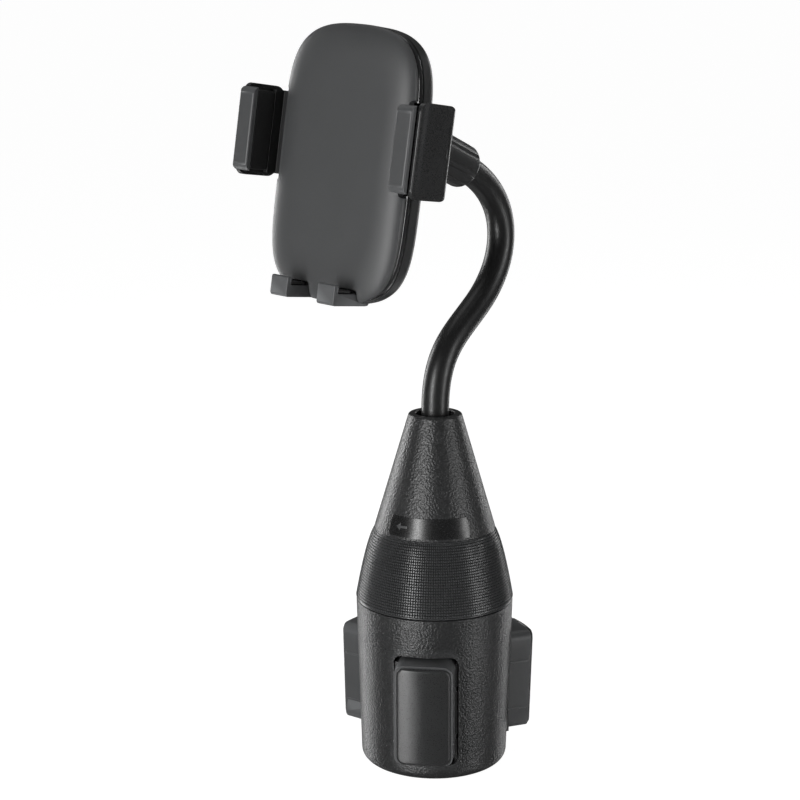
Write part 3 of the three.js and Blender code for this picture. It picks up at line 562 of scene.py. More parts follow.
screw_angles = [angle + 180 for angle in FOOT_ANGLES]
screw_places = [(SCREW_R * math.cos(math.radians(a)), SCREW_R * math.sin(math.radians(a)))
                for a in screw_angles]
cup_profile = rounded([
    (0, FLOOR_Z[0], 0), (PAD_R + FIT_GAP, FLOOR_Z[0], 0), (PAD_R + FIT_GAP, CUP_FOOT_Z, 0.3),
    (CUP_FOOT_R - 0.1, CUP_FOOT_Z, 4.2), (CUP_TOP_R, CUP_TOP_Z, 0.7),
    (CUP_TOP_R - CUP_WALL, CUP_TOP_Z, 0.5), (CUP_FOOT_R - CUP_WALL, FLOOR_Z[1], 1.2),
    (0, FLOOR_Z[1], 0)], closed=False, steps=8)
cup = lathe("cup_body", split_rows(cup_profile))
windows = [at_angle(prism("window", WINDOW(), (20, 50), "x"), a) for a in FOOT_ANGLES]
holes = [rod(r, span, at, "z") for at in screw_places for r, span in (SHANK_HOLE, HEAD_HOLE)]
soften(cut(cup, *windows, *holes), 0.45, 3)
hand_over(cup, "base", BASE, GRAINED, "grained_plastic", "base_shell")

# %% [markdown]
# Under the cup sits a glued rubber disc that stops it sliding in the car. Concentric grooves are
# what such a disc has, and they cost only a few more points in its profile.

# %% Rubber disc under the cup
GROOVES = (10, 16, 22)
GROOVE_SECTION = ((-0.8, 0), (-0.5, 0.4), (0.5, 0.4), (0.8, 0))
DISC_TOP = 1.15
disc_profile = [(0, 0, 0)]
disc_profile += [(groove + r, z, 0) for groove in GROOVES for r, z in GROOVE_SECTION]
disc_profile += [(PAD_R, 0, 0.5), (PAD_R, DISC_TOP, 0.2), (0, DISC_TOP, 0)]
disc = lathe("base_disc", rounded(disc_profile, closed=False))
hand_over(disc, "base", BASE, RUBBER, "rubber", "base_pad")

# %% [markdown]
# ## The knurled ring
# The grip ring is what the hand turns, so its outside is knurled: small square pyramids in columns
# that draw together as the ring narrows. Geometry Nodes suit this well. The ring is first turned as
# a plain body whose band has one quad for each pyramid; the node tree then raises every marked quad
# and shrinks its top, so the knurl follows the bowed surface by itself.

# %% Knurling tree
def geometry_tree(name, inputs):
    tree = bpy.data.node_groups.new(name, "GeometryNodeTree")
    tree.interface.new_socket("Geometry", in_out="INPUT", socket_type="NodeSocketGeometry")
    for socket, (kind, default) in inputs.items():
        made = tree.interface.new_socket(socket, in_out="INPUT", socket_type=kind)
        if default is not None:
            made.default_value = default
    tree.interface.new_socket("Geometry", in_out="OUTPUT", socket_type="NodeSocketGeometry")
    add = maker(tree)
    return tree, add, add("NodeGroupInput")


def close_tree(add, given, geometry):
    """Every tree ends the same way: real geometry, with the material set."""
    real = add("GeometryNodeRealizeInstances", {"Geometry": geometry})
    painted = add("GeometryNodeSetMaterial", {"Geometry": real.outputs["Geometry"],
                                              "Material": given.outputs["Finish"]})
    add("NodeGroupOutput", {"Geometry": painted.outputs["Geometry"]})


def run_tree(source, tree, values, name):
    """Runs a tree on an object and returns the result as a plain mesh piece."""
    modifier = source.modifiers.new(tree.name, "NODES")
    modifier.node_group = tree
    for item in tree.interface.items_tree:
        if item.item_type == "SOCKET" and item.in_out == "INPUT" and item.name in values:
            modifier[item.identifier] = values[item.name]
    graph = bpy.context.evaluated_depsgraph_get()
    mesh = bpy.data.meshes.new_from_object(source.evaluated_get(graph), depsgraph=graph)
    bpy.data.objects.remove(source)
    mesh.name = name
    piece = bpy.data.objects.new(name, mesh)
    scene.collection.objects.link(piece)
    return piece


MATERIAL = "NodeSocketMaterial"
knurl, add, given = geometry_tree("knurling", {
    "Height": (FLOAT, 0.3), "Crest share": (FLOAT, 0.5), "Finish": (MATERIAL, None)})
marked = add("GeometryNodeInputNamedAttribute", {"Name": "knurl"}, data_type="BOOLEAN")
raised = add("GeometryNodeExtrudeMesh", {
    "Mesh": given.outputs["Geometry"], "Selection": marked.outputs["Attribute"],
    "Offset Scale": given.outputs["Height"], "Individual": True})
crests = add("GeometryNodeScaleElements", {
    "Geometry": raised.outputs["Mesh"], "Selection": raised.outputs["Top"],
    "Scale": given.outputs["Crest share"]})
close_tree(add, given, crests.outputs["Geometry"])
print("knurling tree:", [node.bl_label for node in knurl.nodes])

# %% [markdown]
# The ring's outside is one bow, drawn as a curve with a single pull point. Its rows are spaced evenly
# along the bow and not by height, so the pyramids stay equally tall where the bow turns inward.

# %% Knurled ring
KNURL_COLUMNS = 192
KNURL_ROWS = 27
KNURL_HEIGHT = 0.42
CREST_SHARE = 0.52
BOW_STEPS = 400
RING_WALL = 2.6
BAND_REACH = 9
bow_from, bow_by, bow_to = Vector((35.6, 77.5)), Vector((31.0, 103.4)), Vector((27.3, 109.1))


def bow(t):
    return bow_from * (1 - t) ** 2 + bow_by * 2 * t * (1 - t) + bow_to * t ** 2


fine_steps = [bow(i / BOW_STEPS) for i in range(BOW_STEPS + 1)]
climb = np.cumsum([0] + [(b - a).length for a, b in zip(fine_steps, fine_steps[1:])])
even_climb = np.linspace(0, climb[-1], KNURL_ROWS + 1)
band = [bow(t) - Vector((KNURL_HEIGHT, 0))
        for t in np.interp(even_climb, climb, np.linspace(0, 1, BOW_STEPS + 1)).tolist()]
lip_low = [(33, 76.8), (35.1, 76.8), (35.35, 77.0), (35.35, 77.3)]
lip_top = [(27.0, 109.2), (26.9, 109.4), (24.9, 109.4)]
inner_wall = [(bow(1 - i / 6).x - RING_WALL, bow(1 - i / 6).y) for i in range(1, 5)]
shelf = [(32.1, 87), (22, 87), (22, 85), (32.5, 85)]
ring_profile = lip_low + [tuple(p) for p in band] + lip_top + inner_wall + shelf
ring = lathe("grip_ring_body", ring_profile, closed=True, sides=KNURL_COLUMNS)
is_band = [abs(math.hypot(*f.center[:2]) - bow(0).x) < BAND_REACH and f.center.z > band[0][1]
           and f.center.z < band[-1][1] and f.normal.to_2d().dot(f.center.to_2d()) > 0
           for f in ring.data.polygons]
ring.data.attributes.new("knurl", "BOOLEAN", "FACE").data.foreach_set("value", is_band)
ring = run_tree(ring, knurl, {"Height": KNURL_HEIGHT, "Crest share": CREST_SHARE, "Finish": KNURLED},
                "grip_ring_body")
print("pyramids:", sum(is_band))
hand_over(ring, "dial", BASE, KNURLED, "grained_plastic", "grip_ring", sharp=20)

# %% [markdown]
# ## The cone
# The cone joins the ring to the neck. It is a thin shell with the same leather grain as the cup, a
# recess at its top that swallows the neck, and a collar inside. The webs that tie it to the centre
# post are inside and are kept too.

# %% Cone shell
CONE_LOW = (27.2, 109.75)
CONE_TOP = (11.8, 162)
CONE_WALL = 2.3
HOSE_R = 6.2
HOSE_HOLE = HOSE_R + FIT_GAP
POST_R = 7.5
BOSS_R = POST_R + 2.4
COLLAR_Z = (152.5, 155)
WEB_SPAN = (122, 148)
WEB_HALF = 0.8


def cone_radius(z):
    share = (z - CONE_LOW[1]) / (CONE_TOP[1] - CONE_LOW[1])
    return CONE_LOW[0] + (CONE_TOP[0] - CONE_LOW[0]) * share


def sleeve(name, radii, span):
    """A plain tube that stands on the cup's axis."""
    (inner, outer), (low, high) = radii, span
    return lathe(name, [(inner, low), (outer, low), (outer, high), (inner, high)], closed=True)


cone_profile = rounded([
    (CONE_LOW[0], CONE_LOW[1], 0.15), (CONE_TOP[0], CONE_TOP[1], 1.3), (8.7, CONE_TOP[1], 0.6),
    (8.5, COLLAR_Z[1], 0), (HOSE_HOLE, COLLAR_Z[1], 0), (HOSE_HOLE, COLLAR_Z[0], 0),
    (cone_radius(COLLAR_Z[0]) - CONE_WALL, COLLAR_Z[0], 0),
    (CONE_LOW[0] - CONE_WALL, CONE_LOW[1], 0.2)])
cone = lathe("cone_body", split_rows(cone_profile), closed=True)
boss = sleeve("boss", (POST_R + FIT_GAP, BOSS_R), WEB_SPAN)
web_sheet = [(POST_R + 1.2, WEB_SPAN[0]), (cone_radius(WEB_SPAN[0]) - 1, WEB_SPAN[0]),
             (cone_radius(WEB_SPAN[1]) - 1, WEB_SPAN[1]), (POST_R + 1.2, WEB_SPAN[1])]
webs = [at_angle(prism("web", web_sheet, (-WEB_HALF, WEB_HALF), "y"), a) for a in (0, 120, 240)]
join(cone, boss, *webs)
hand_over(cone, "base", BASE, GRAINED, "grained_plastic", "cone_shell")

# %% [markdown]
# Low on the cone a smooth strip tells the user which way the ring turns. It stands a fifth of a
# millimetre proud, with soft corners. Here it carries only a plain arrow. Both are drawn flat, as
# an angle round the cone and a height, and wrapped onto it.

# %% Label strip and arrow
LABEL_MIDDLE = -60
LABEL_HALF_ANGLE = 43
LABEL_Z = (110.9, 119.6)


def wrapped(name, outline, proud, sunk, draw_in):
    """Wraps an outline of (arc length, height) onto the cone, as a thin soft-edged strip."""
    edge = 0.1
    levels = [(0, sunk), (0, proud - edge), (edge * 0.3, proud - edge * 0.3), (edge, proud)]
    levels += [(draw_in * i / 4, proud) for i in range(1, 5)]
    rings = [[(x, z, level) for x, z in outline(inset)] for inset, level in levels]
    spine = [(x, outline.middle[1]) for x, z in outline(draw_in)]
    rings = [[(x, z, sunk) for x, z in spine], *rings, [(x, z, proud) for x, z in spine]]
    for ring in rings:
        for i, (along, height, out) in enumerate(ring):
            radius = cone_radius(height) + out
            turn = math.radians(LABEL_MIDDLE) + along / cone_radius(outline.middle[1])
            ring[i] = (radius * math.cos(turn), radius * math.sin(turn), height)
    return skin(name, rings)


label_mid_z = sum(LABEL_Z) / 2
label_half_w = math.radians(LABEL_HALF_ANGLE) * cone_radius(label_mid_z)
label_card = card(label_half_w, (LABEL_Z[1] - LABEL_Z[0]) / 2, 0.7, middle=(0, label_mid_z))
label = wrapped("label_strip", split_long(label_card), proud=0.22, sunk=-0.15, draw_in=4.2)
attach(dress(label, BASE, LABEL, "grained_plastic"), "base")
ARROW_AT = -12.4
ARROW_HALF = 2.7
BARB = (-0.6, 1.5)
SHAFT_HALF = 0.45
arrow_points = [(-ARROW_HALF, 0), BARB, (BARB[0], SHAFT_HALF), (ARROW_HALF, SHAFT_HALF),
                (ARROW_HALF, -SHAFT_HALF), (BARB[0], -SHAFT_HALF), (BARB[0], -BARB[1])]


def arrow_outline(inset=0):
    keep = 1 - inset / 3
    return [(ARROW_AT + x * keep, label_mid_z + y * keep) for x, y in arrow_points]


arrow_outline.middle = (ARROW_AT, label_mid_z)
arrow = wrapped("label_arrow", split_long(arrow_outline, 0.6), proud=0.42, sunk=0.1, draw_in=0.4)
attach(dress(arrow, BASE, FOOT, "grey_plastic"), "base")

# %% [markdown]
# Two more turned parts sit on the cup's axis. The hollow centre post carries the cone, and a rubber
# grommet seals the neck's hole. The steel anchor is clamped round the neck's core inside the post.

# %% Post, grommet and anchor
POST_Z = (61, 146)
SPIGOT = (5.1, 63.75)
POST_BORE = (5.6, 112)
GROMMET_Z = (155.35, 158)
GROMMET_R = 8.1
post = lathe("post", [(0, POST_Z[0]), (SPIGOT[0], POST_Z[0]), SPIGOT, (POST_R, SPIGOT[1]),
                      (POST_R, POST_Z[1]), (POST_BORE[0], POST_Z[1]), POST_BORE, (0, POST_BORE[1])])
hand_over(post, "base", BASE, BLACK, "matte_black", "center_post")
grommet = lathe("grommet", rounded([
    (HOSE_HOLE, GROMMET_Z[0], 0.2), (GROMMET_R, GROMMET_Z[0], 0.2), (GROMMET_R, GROMMET_Z[1], 0.9),
    (HOSE_HOLE, GROMMET_Z[1], 0.6)]), closed=True)
hand_over(grommet, "base", BASE, RUBBER, "rubber", "cone_grommet")
anchor = sleeve("anchor", (4.15, 5.25), (116, 143))
hand_over(anchor, "base", BASE, STEEL, "steel", "neck_anchor")

# %% [markdown]
# ## The feet
# Each foot is a hollow carrier that slides through a window, with a pad on its outer face. The pad
# is a shallow pillow: its outline is a rounded rectangle, its edge is filleted, and its face is
# bowed to the circle that the cup holder would be. The pad's back is drawn in, which leaves a dark
# seam between it and the carrier. Both lean outward towards the top.

# %% Foot carriers and pads
FOOT_Z = (12.4, 57.4)
FOOT_HALF = 11.9
CARRIER_HALF = 13.0
CARRIER_WALL = 3
FOOT_OUT_R = 46
FOOT_LEAN = 1.4
FOOT_PAD_DEEP = 2.7
PAD_ROLL = 1.3
SEAM_DEEP = 1.3
SEAM_WIDE = 0.7
RIB_LEVELS = (21.9, 44.3)
RIB_HALF = 13.4
CAM_PIN_AT = (25, 0)
CAM_PIN_TOP = 66.8
foot_mid_z = sum(FOOT_Z) / 2
carrier_in = FOOT_OUT_R - 23.8
carrier_out = FOOT_OUT_R - FOOT_PAD_DEEP - 0.3


def lean(piece):
    """Shears a foot outward, so that its top stands further out than its bottom."""
    for vertex in piece.data.vertices:
        share = (FOOT_Z[1] - vertex.co.z) / (FOOT_Z[1] - FOOT_Z[0])
        front = (vertex.co.x - carrier_in) / (carrier_out - carrier_in)
        vertex.co.x -= FOOT_LEAN * min(max(share, 0), 1) * min(max(front, 0), 1)
    return piece


for number, place in enumerate(FEET, start=1):
    low, high = FOOT_Z[0] - 0.3, FOOT_Z[1] + 0.7
    section = rounded([(-CARRIER_HALF, low, 3.2), (CARRIER_HALF, low, 3.2),
                       (CARRIER_HALF, high, 4.4), (-CARRIER_HALF, high, 4.4)], steps=8)
    carrier = prism("foot_carrier_body", section, (carrier_in, carrier_out), "x")
    ribs = [block("rib", (carrier_in + 1.8, carrier_out - 1.2), (-RIB_HALF, RIB_HALF),
                  (z - 0.5, z + 0.5), 0.4, 0.3, "y") for z in RIB_LEVELS]
    hollow = block("hollow", (carrier_in - 3, carrier_out - 4),
                   (CARRIER_WALL - CARRIER_HALF, CARRIER_HALF - CARRIER_WALL),
                   (FOOT_Z[0] + 2, FOOT_Z[1] - 2.4), 1, 0.3, "x")
    pin = rod(2, (FOOT_Z[1] - 1, CAM_PIN_TOP), CAM_PIN_AT, "z")
    carrier = lean(soften(cut(join(carrier, *ribs), hollow), 0.6, 3, over=60))
    join(carrier, pin)
    carrier.name = f"foot_{number}_carrier"
    hand_over(carrier, f"foot_{number}", place, FOOT, "grey_plastic", f"foot_carrier_{number}")

    pad_card = card(FOOT_HALF, (FOOT_Z[1] - FOOT_Z[0]) / 2, 3.6, steps=8, middle=(0, foot_mid_z))
    pad_outline = shrinking(split_long(pad_card), PAD_ROLL, FOOT_HALF)
    back, face = FOOT_OUT_R - FOOT_PAD_DEEP, FOOT_OUT_R
    pad_layers = [(None, back), (SEAM_DEEP, back), (SEAM_DEEP, back + SEAM_WIDE),
                  (0.3, back + SEAM_WIDE + 0.05), (0, back + 1)]
    pad_layers += [(PAD_ROLL * (1 - math.cos(a)), face - PAD_ROLL * (1 - math.sin(a)))
                   for a in [math.pi / 2 * i / 5 for i in range(6)]]
    pad_layers += [(inset, face) for inset in (2.2, 4, 6, 8, 10, 12)] + [(None, face)]
    pad = stacked(f"foot_{number}_pad", pad_outline, pad_layers, "x")
    for vertex in pad.data.vertices:
        share = (vertex.co.x - back) / FOOT_PAD_DEEP
        vertex.co.x -= share * (FOOT_OUT_R - math.sqrt(FOOT_OUT_R ** 2 - vertex.co.y ** 2))
    lean(pad)
    hand_over(pad, f"foot_{number}", place, FOOT_PAD, "soft_touch", f"foot_pad_{number}")

# %% [markdown]
# ## The gooseneck
# A gooseneck is a springy wound core in a rubber hose. Its route is two smooth bends between two
# straight ends. In the CAD it is a chain of short rigid lengths with four hinges, so that a
# simulator can bend it; here each hinge gets one stretch of hose and core, and the stretches meet
# half way between hinges, where nothing bends.

# %% Route of the neck
NECK_START = (0, 150.5)
NECK_STRAIGHT = (0, 163.5)
NECK_MIDDLE = (32.05, 207)
NECK_SLOPE = 35.7
NECK_TIP = (20.2, 269.2)
NECK_INSERT = 8
HINGES = 4
PULLS = (26.7, 20.8, 30.9, 40.3)


def heading(degrees, length):
    turn = math.radians(degrees)
    return Vector((length * math.cos(turn), length * math.sin(turn)))


def bend_curve(start, pull, push, end, steps=200):
    points = []
    for i in range(steps + 1):
        t = i / steps
        weights = ((1 - t) ** 3, 3 * t * (1 - t) ** 2, 3 * t * t * (1 - t), t ** 3)
        points.append(sum((Vector(p) * w for p, w in zip((start, pull, push, end), weights)),
                          Vector((0, 0))))
    return points


middle, tip = Vector(NECK_MIDDLE), Vector(NECK_TIP)
route = [Vector(NECK_START)]
route += bend_curve(NECK_STRAIGHT, Vector(NECK_STRAIGHT) + Vector((0, PULLS[0])),
                    middle - heading(NECK_SLOPE, PULLS[1]), middle)
route += bend_curve(middle, middle + heading(NECK_SLOPE, PULLS[2]),
                    tip + heading(-NECK_LIFT, PULLS[3]), tip)[1:]
route.append(tip - heading(-NECK_LIFT, NECK_INSERT))
route = np.array([tuple(p) for p in route])
route_length = np.concatenate([[0], np.cumsum(np.hypot(*np.diff(route, axis=0).T))])
NECK_LENGTH = route_length[-1]


def neck_point(along):
    """The neck's centre at a path length, run on straight past its ends."""
    y, z = (np.interp(along, route_length, route[:, k]) for k in (0, 1))
    if along < 0:
        z += along
    if along > NECK_LENGTH:
        past = heading(-NECK_LIFT, NECK_LENGTH - along)
        y, z = y + past.x, z + past.y
    return Vector((0, y, z))


def length_nearest(point):
    gaps = np.hypot(route[:, 0] - point.y, route[:, 1] - point.z)
    return route_length[int(np.argmin(gaps))]


hinge_points = [joint_at[f"neck_bend_{i + 1}"] / MM for i in range(HINGES)]
hinge_lengths = [length_nearest(p) for p in hinge_points]
cuts = [(a + b) / 2 for a, b in zip(hinge_lengths, hinge_lengths[1:])]
print(f"neck {NECK_LENGTH:.1f} mm long, hinges at", [round(h, 1) for h in hinge_lengths])

# %% [markdown]
# Sweeping a circle along a path is one node in Geometry Nodes. The same tree makes the plain hose
# and the wound core: a ripple input swells the radius at an even pitch, which is how a wound
# gooseneck looks when its rubber is pulled back.

# %% Sweeping tree
sweep, add, given = geometry_tree("sweep", {
    "Radius": (FLOAT, 6.0), "Sides": ("NodeSocketInt", 64), "Ripple": (FLOAT, 0.0),
    "Pitch": (FLOAT, 2.0), "Finish": (MATERIAL, None)})
along = add("GeometryNodeSplineParameter")
turns = add("ShaderNodeMath", {0: along.outputs["Length"], 1: given.outputs["Pitch"]},
            operation="DIVIDE")
phase = add("ShaderNodeMath", {0: turns.outputs[0], 1: 2 * math.pi}, operation="MULTIPLY")
wave = add("ShaderNodeMath", {0: phase.outputs[0]}, operation="SINE")
swell = add("ShaderNodeMath", {0: wave.outputs[0], 1: given.outputs["Ripple"], 2: 1.0},
            operation="MULTIPLY_ADD")
swollen = add("GeometryNodeSetCurveRadius", {"Curve": given.outputs["Geometry"],
                                             "Radius": swell.outputs[0]})
section = add("GeometryNodeCurvePrimitiveCircle", {"Resolution": given.outputs["Sides"],
                                                   "Radius": given.outputs["Radius"]})
tube = add("GeometryNodeCurveToMesh", {"Curve": swollen.outputs["Curve"],
                                       "Profile Curve": section.outputs["Curve"],
                                       "Scale": swell.outputs[0], "Fill Caps": True})
close_tree(add, given, tube.outputs["Mesh"])


def swept(name, start, end, radius, step, material, ripple=0.0):
    """A length of the neck's route as a solid rod."""
    count = max(2, round((end - start) / step))
    curve = bpy.data.curves.new(name, "CURVE")
    curve.dimensions = "3D"
    spline = curve.splines.new("POLY")
    spline.points.add(count)
    for i, point in enumerate(spline.points):
        point.co = (*neck_point(start + (end - start) * i / count), 1)
    source = bpy.data.objects.new(name, curve)
    scene.collection.objects.link(source)
    values = {"Radius": radius, "Sides": 64, "Ripple": ripple, "Pitch": 2.2, "Finish": material}
    return face_outward(run_tree(source, sweep, values, name))


print("sweeping tree:", len(sweep.nodes), "nodes")

# %% [markdown]
# Each stretch of hose is a swept rod with a bore cut through it, and the wound core lies inside.

# %% Hose and core, one stretch for each hinge
CORE_R = 3.8
CORE_START = 116 - NECK_START[1]
BEND_REACH = 10
BORE_PAST = 2
hose_ends = [0.0, *cuts, NECK_LENGTH]
core_ends = [CORE_START, *cuts, NECK_LENGTH - 4]
for i, hinge in enumerate(hinge_lengths):
    ahead = (neck_point(hinge + BEND_REACH) - neck_point(hinge - BEND_REACH)) / 2
    numbers = (i + 1, i + 2) if i == HINGES - 1 else (i + 1,)
    hose = swept(f"neck_hose_{i + 1}", hose_ends[i], hose_ends[i + 1], HOSE_R, 1.0, HOSE)
    bore = swept("bore", hose_ends[i] - BORE_PAST, hose_ends[i + 1] + BORE_PAST,
                 CORE_R + FIT_GAP, 2.0, HOSE)
    dress(cut(hose, bore), BASE, HOSE, "rubber", *[f"neck_sleeve_{n}" for n in numbers])
    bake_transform(hose)
    core = swept(f"neck_wound_core_{i + 1}", core_ends[i], core_ends[i + 1], CORE_R - 0.1, 0.44,
                 STEEL, ripple=0.05)
    dress(core, BASE, STEEL, "steel", *[f"neck_core_{n}" for n in numbers], sharp=60)
    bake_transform(core)

# %% [markdown]
# ## The ball joint
# The neck ends in a socket. A fluted ring nut screws over it and squeezes a plastic liner round a
# steel ball; loosening the nut frees the cradle. All of them are turned, and only the nut has more
# than a profile: eight long flutes for the fingers, cut with round bars.

# %% Nut, socket, liner, ball and stud
NUT_R = 9.8
NUT_BACK = 25.3
FLUTES = 8
FLUTE_R = 2.1
FLUTE_AT = NUT_R + 1.35
BALL_R = 5.8


def sphere_arc(radius, low, high, steps=12):
    a, b = math.asin(low / radius), math.asin(high / radius)
    turns = [a + (b - a) * i / steps for i in range(steps + 1)]
    return [(radius * math.cos(t), radius * math.sin(t)) for t in turns]


nut = lathe("ball_nut", rounded([
    (NUT_R, -6.4, 0.9), (NUT_R, NUT_BACK, 3.0), (6.7, NUT_BACK, 0.4), (6.7, 23.4, 0),
    (8.25, 23.4, 0), (8.25, -3.4, 0), (5.95, -3.4, 0), (5.4, -4.2, 0.2), (6.5, -6.4, 0.3)],
    steps=6), closed=True, axis="y", sides=192)
flute_turns = [2 * math.pi * (i + 0.5) / FLUTES for i in range(FLUTES)]
flutes = [rod(FLUTE_R, (-8, NUT_BACK + 1), (FLUTE_AT * math.cos(t), FLUTE_AT * math.sin(t)))
          for t in flute_turns]
soften(cut(nut, *flutes), 0.3, 3, over=38)
hand_over(nut, "nut", NECK_END, BLACK, "matte_black", "ring_nut")

cup_arc = sphere_arc(6.95, -3, 6.4)[::-1]
socket = lathe("ball_socket_cup", [(0, 8.2), (2, 8.2), *cup_arc, (7.9, -3), (7.9, 23),
                                   (HOSE_HOLE, 23), (HOSE_HOLE, 11), (0, 11)], axis="y")
hand_over(socket, "neck_5", NECK_END, BLACK, "matte_black", "ball_socket")
liner = lathe("ball_liner_ring", sphere_arc(6.62, -2.4, 3.4) + sphere_arc(6.1, -2.4, 3.4)[::-1],
              closed=True, axis="y")
hand_over(liner, "ball_seat", NECK_END, ACETAL, "acetal", "ball_liner")
BORE_R = 2.2
bore_low = -math.sqrt(BALL_R ** 2 - BORE_R ** 2)
bead = lathe("steel_ball", sphere_arc(BALL_R, bore_low, 4.6, 24) + [(BORE_R, 4.6)],
             closed=True, axis="y")
hand_over(bead, "ball_turn", HEAD, STEEL, "steel", "ball")
stud = lathe("ball_stem", rounded([
    (0, -26.2, 0), (9.5, -26.2, 0.4), (9.5, -24.2, 0.5), (5, -22.8, 1.2), (4.2, -14, 0.8),
    (2.5, -11.5, 0.5), (2.5, -6.1, 0), (1.9, -6.1, 0), (1.9, 4.9, 0), (2.9, 4.9, 0),
    (2.9, 5.6, 0.2), (0, 5.6, 0)], closed=False), axis="y")
hand_over(stud, "cradle", HEAD, STEEL, "steel", "ball_stud")

# %% [markdown]
# ## The cradle
# Seen from the front the cradle is a squashed oval, close to a rounded rectangle but with no
# straight side. A superellipse gives it: two half sizes and two powers. Its points are spread
# evenly along the edge, so that every layer of the panel, rim and back cover gets the same mesh.

# %% Outline of the cradle
PANEL_HALF_W = 33.6
PANEL_HALF_H = 56.6
SIDE_POWER = 2.64
END_POWER = 5.49


def oval(inset=0, each=44):
    w, h = PANEL_HALF_W - inset, PANEL_HALF_H - inset
    u = np.linspace(0, 1, 2001)
    turn = math.pi / 2 * u ** 3 / (u ** 3 + (1 - u) ** 3)
    x = w * np.cos(turn).clip(0) ** (2 / SIDE_POWER)
    z = h * np.sin(turn).clip(0) ** (2 / END_POWER)
    length = np.concatenate([[0], np.cumsum(np.hypot(np.diff(x), np.diff(z)))])
    even = np.linspace(0, length[-1], each + 1)
    side = list(zip(np.interp(even, length, x).tolist(), np.interp(even, length, z).tolist()))
    back = side[::-1]
    return (side[:-1] + [(-x, z) for x, z in back][:-1]
            + [(-x, -z) for x, z in side][:-1] + [(x, -z) for x, z in back][:-1])


oval.middle = (0, 0)
JAW_Z = (-8, 26.6)
PINION_Z = sum(JAW_Z) / 2
HOOK_X = 12.4
HOOK_HALF = 4.4
TRAY_HALF = HOOK_X + HOOK_HALF
HOOK_LOW_Z = -56.2
SCREWS = ((-24, 40), (24, 40), (-24, -38), (24, -38))
print("outline points:", len(oval()))

# %% [markdown]
# The front panel is a soft-touch moulding whose face rolls over to the rim along its whole edge.
# The roll is a quarter ellipse, 13 mm wide and 4.5 mm deep, so it takes light gradually. Two
# notches let the jaws close beside it, and two slots at the bottom let the hooks draw in.

# %% Front panel
ROLL_WIDTH = 13
ROLL_DEPTH = 4.5
ROLL_STEPS = 14
panel_layers = [(None, -1.6), (3.4, -1.6), (3.4, 0), (0.25, 0), (0, -0.25)]
panel_layers += [(ROLL_WIDTH * (1 - math.cos(a)), -1 - ROLL_DEPTH * math.sin(a))
                 for a in [math.pi / 2 * i / ROLL_STEPS for i in range(ROLL_STEPS + 1)]]
panel_layers += [(inset, -1 - ROLL_DEPTH) for inset in (18, 24, 29)] + [(None, -1 - ROLL_DEPTH)]
panel = stacked("front_panel", oval, panel_layers)
bosses = [rod(2.6, (-2.2, 7.9), at) for at in SCREWS]
jaw_notches = both_sides(lambda s: block("notch", (s * 31.6, s * 42), (-12, 12), (-10.2, 28.6),
                                         1.5, 0.1))
hook_slots = both_sides(lambda s: block(
    "slot", (s * (HOOK_X - HOOK_HALF - 0.4), s * (TRAY_HALF + 0.4)), (-12, 12),
    (-72, HOOK_LOW_Z + 6.6), 0.8, 0.1))
boss_holes = [rod(1.35, (0.5, 9), at) for at in SCREWS]
cut(join(panel, *bosses), *jaw_notches, *hook_slots, *boss_holes)
soften(panel, 0.3, 2, over=62)
hand_over(panel, "cradle", CRADLE, PANEL, "soft_touch", "face_panel")

# %% [markdown]
# Behind the panel a polished rim runs round the cradle. It is the edge of the chassis, a shallow
# pan that holds the rack guides. Its section is drawn once as layers, gates are cut for the arms
# and the hook tray, and the guides are soft blocks joined to its floor.

# %% Chassis with its polished rim
FLOOR_Y = (8.3, 9.8)
GATE_Z = (JAW_Z[0] - 1.2, JAW_Z[1] + 1.2)


def wall_gates(front):
    """Openings for the two arms and the tray, from the given depth back."""
    arms = both_sides(lambda s: block("gate", (s * 24.5, s * 40), (front, 8.15), GATE_Z, 0.6, 0.1))
    tray_gate = block("gate", (-TRAY_HALF - 0.5, TRAY_HALF + 0.5), (front, 6.5), (-70, -47), 0.6, 0.1)
    return [*arms, tray_gate]


chassis = stacked("rim_and_chassis", oval, [
    (None, FLOOR_Y[0]), (4.8, FLOOR_Y[0]), (4.8, 0.9), (4.2, 0.3), (0.7, 0.3), (0.2, 0.5),
    (0, 1.0), (0, 2.6), (0.2, 3.1), (0.7, 3.3), (3, 3.3), (3, FLOOR_Y[1]), (None, FLOOR_Y[1])])
guides = both_sides(lambda s: block("guide", (s * (TRAY_HALF + 0.5), s * (TRAY_HALF + 2)),
                                    (1.4, 8.6), (-44, -24), 0.2, 0.1))
rails = [block("rail", (-23.5, 23.5), (2, 8.6), z, 0.2, 0.1) for z in ((22.4, 23.8), (-5.3, -3.9))]
stops = both_sides(lambda s: block("stop", (s * 7.9, s * 9), (3, 8.6),
                                   (PINION_Z - 2.4, PINION_Z + 2.4), 0.2, 0.1))
cut(chassis, *wall_gates(-2))
join(chassis, *guides, *rails, *stops, rod(1.4, (9, 13.4), (-9.5, 18.5)))
cut(chassis, rod(3.1, (7, 12), (0, PINION_Z)), *[rod(3, (-1, 12), at) for at in SCREWS])
hand_over(chassis, "cradle", CRADLE, RIM, "gloss_black", "chassis")

# %% [markdown]
# The back cover is a rounded tray of the same outline, with a housing that holds the lock and
# carries the ball stem. The housing's corners and its back edge are generous, because a hand holds
# it while pressing the release button in its top.

# %% Back cover and housing
COVER_Y = (3.65, 13)
HOUSING_HALF = 20
HOUSING_Z = (-9, 25)
HOUSING_BACK = 32
EDGE_ROLL = 5


def housing_block(margin, span, edge):
    return block("housing", (margin - HOUSING_HALF, HOUSING_HALF - margin), span,
                 (HOUSING_Z[0] + margin, HOUSING_Z[1] - margin), 5 - margin, edge)


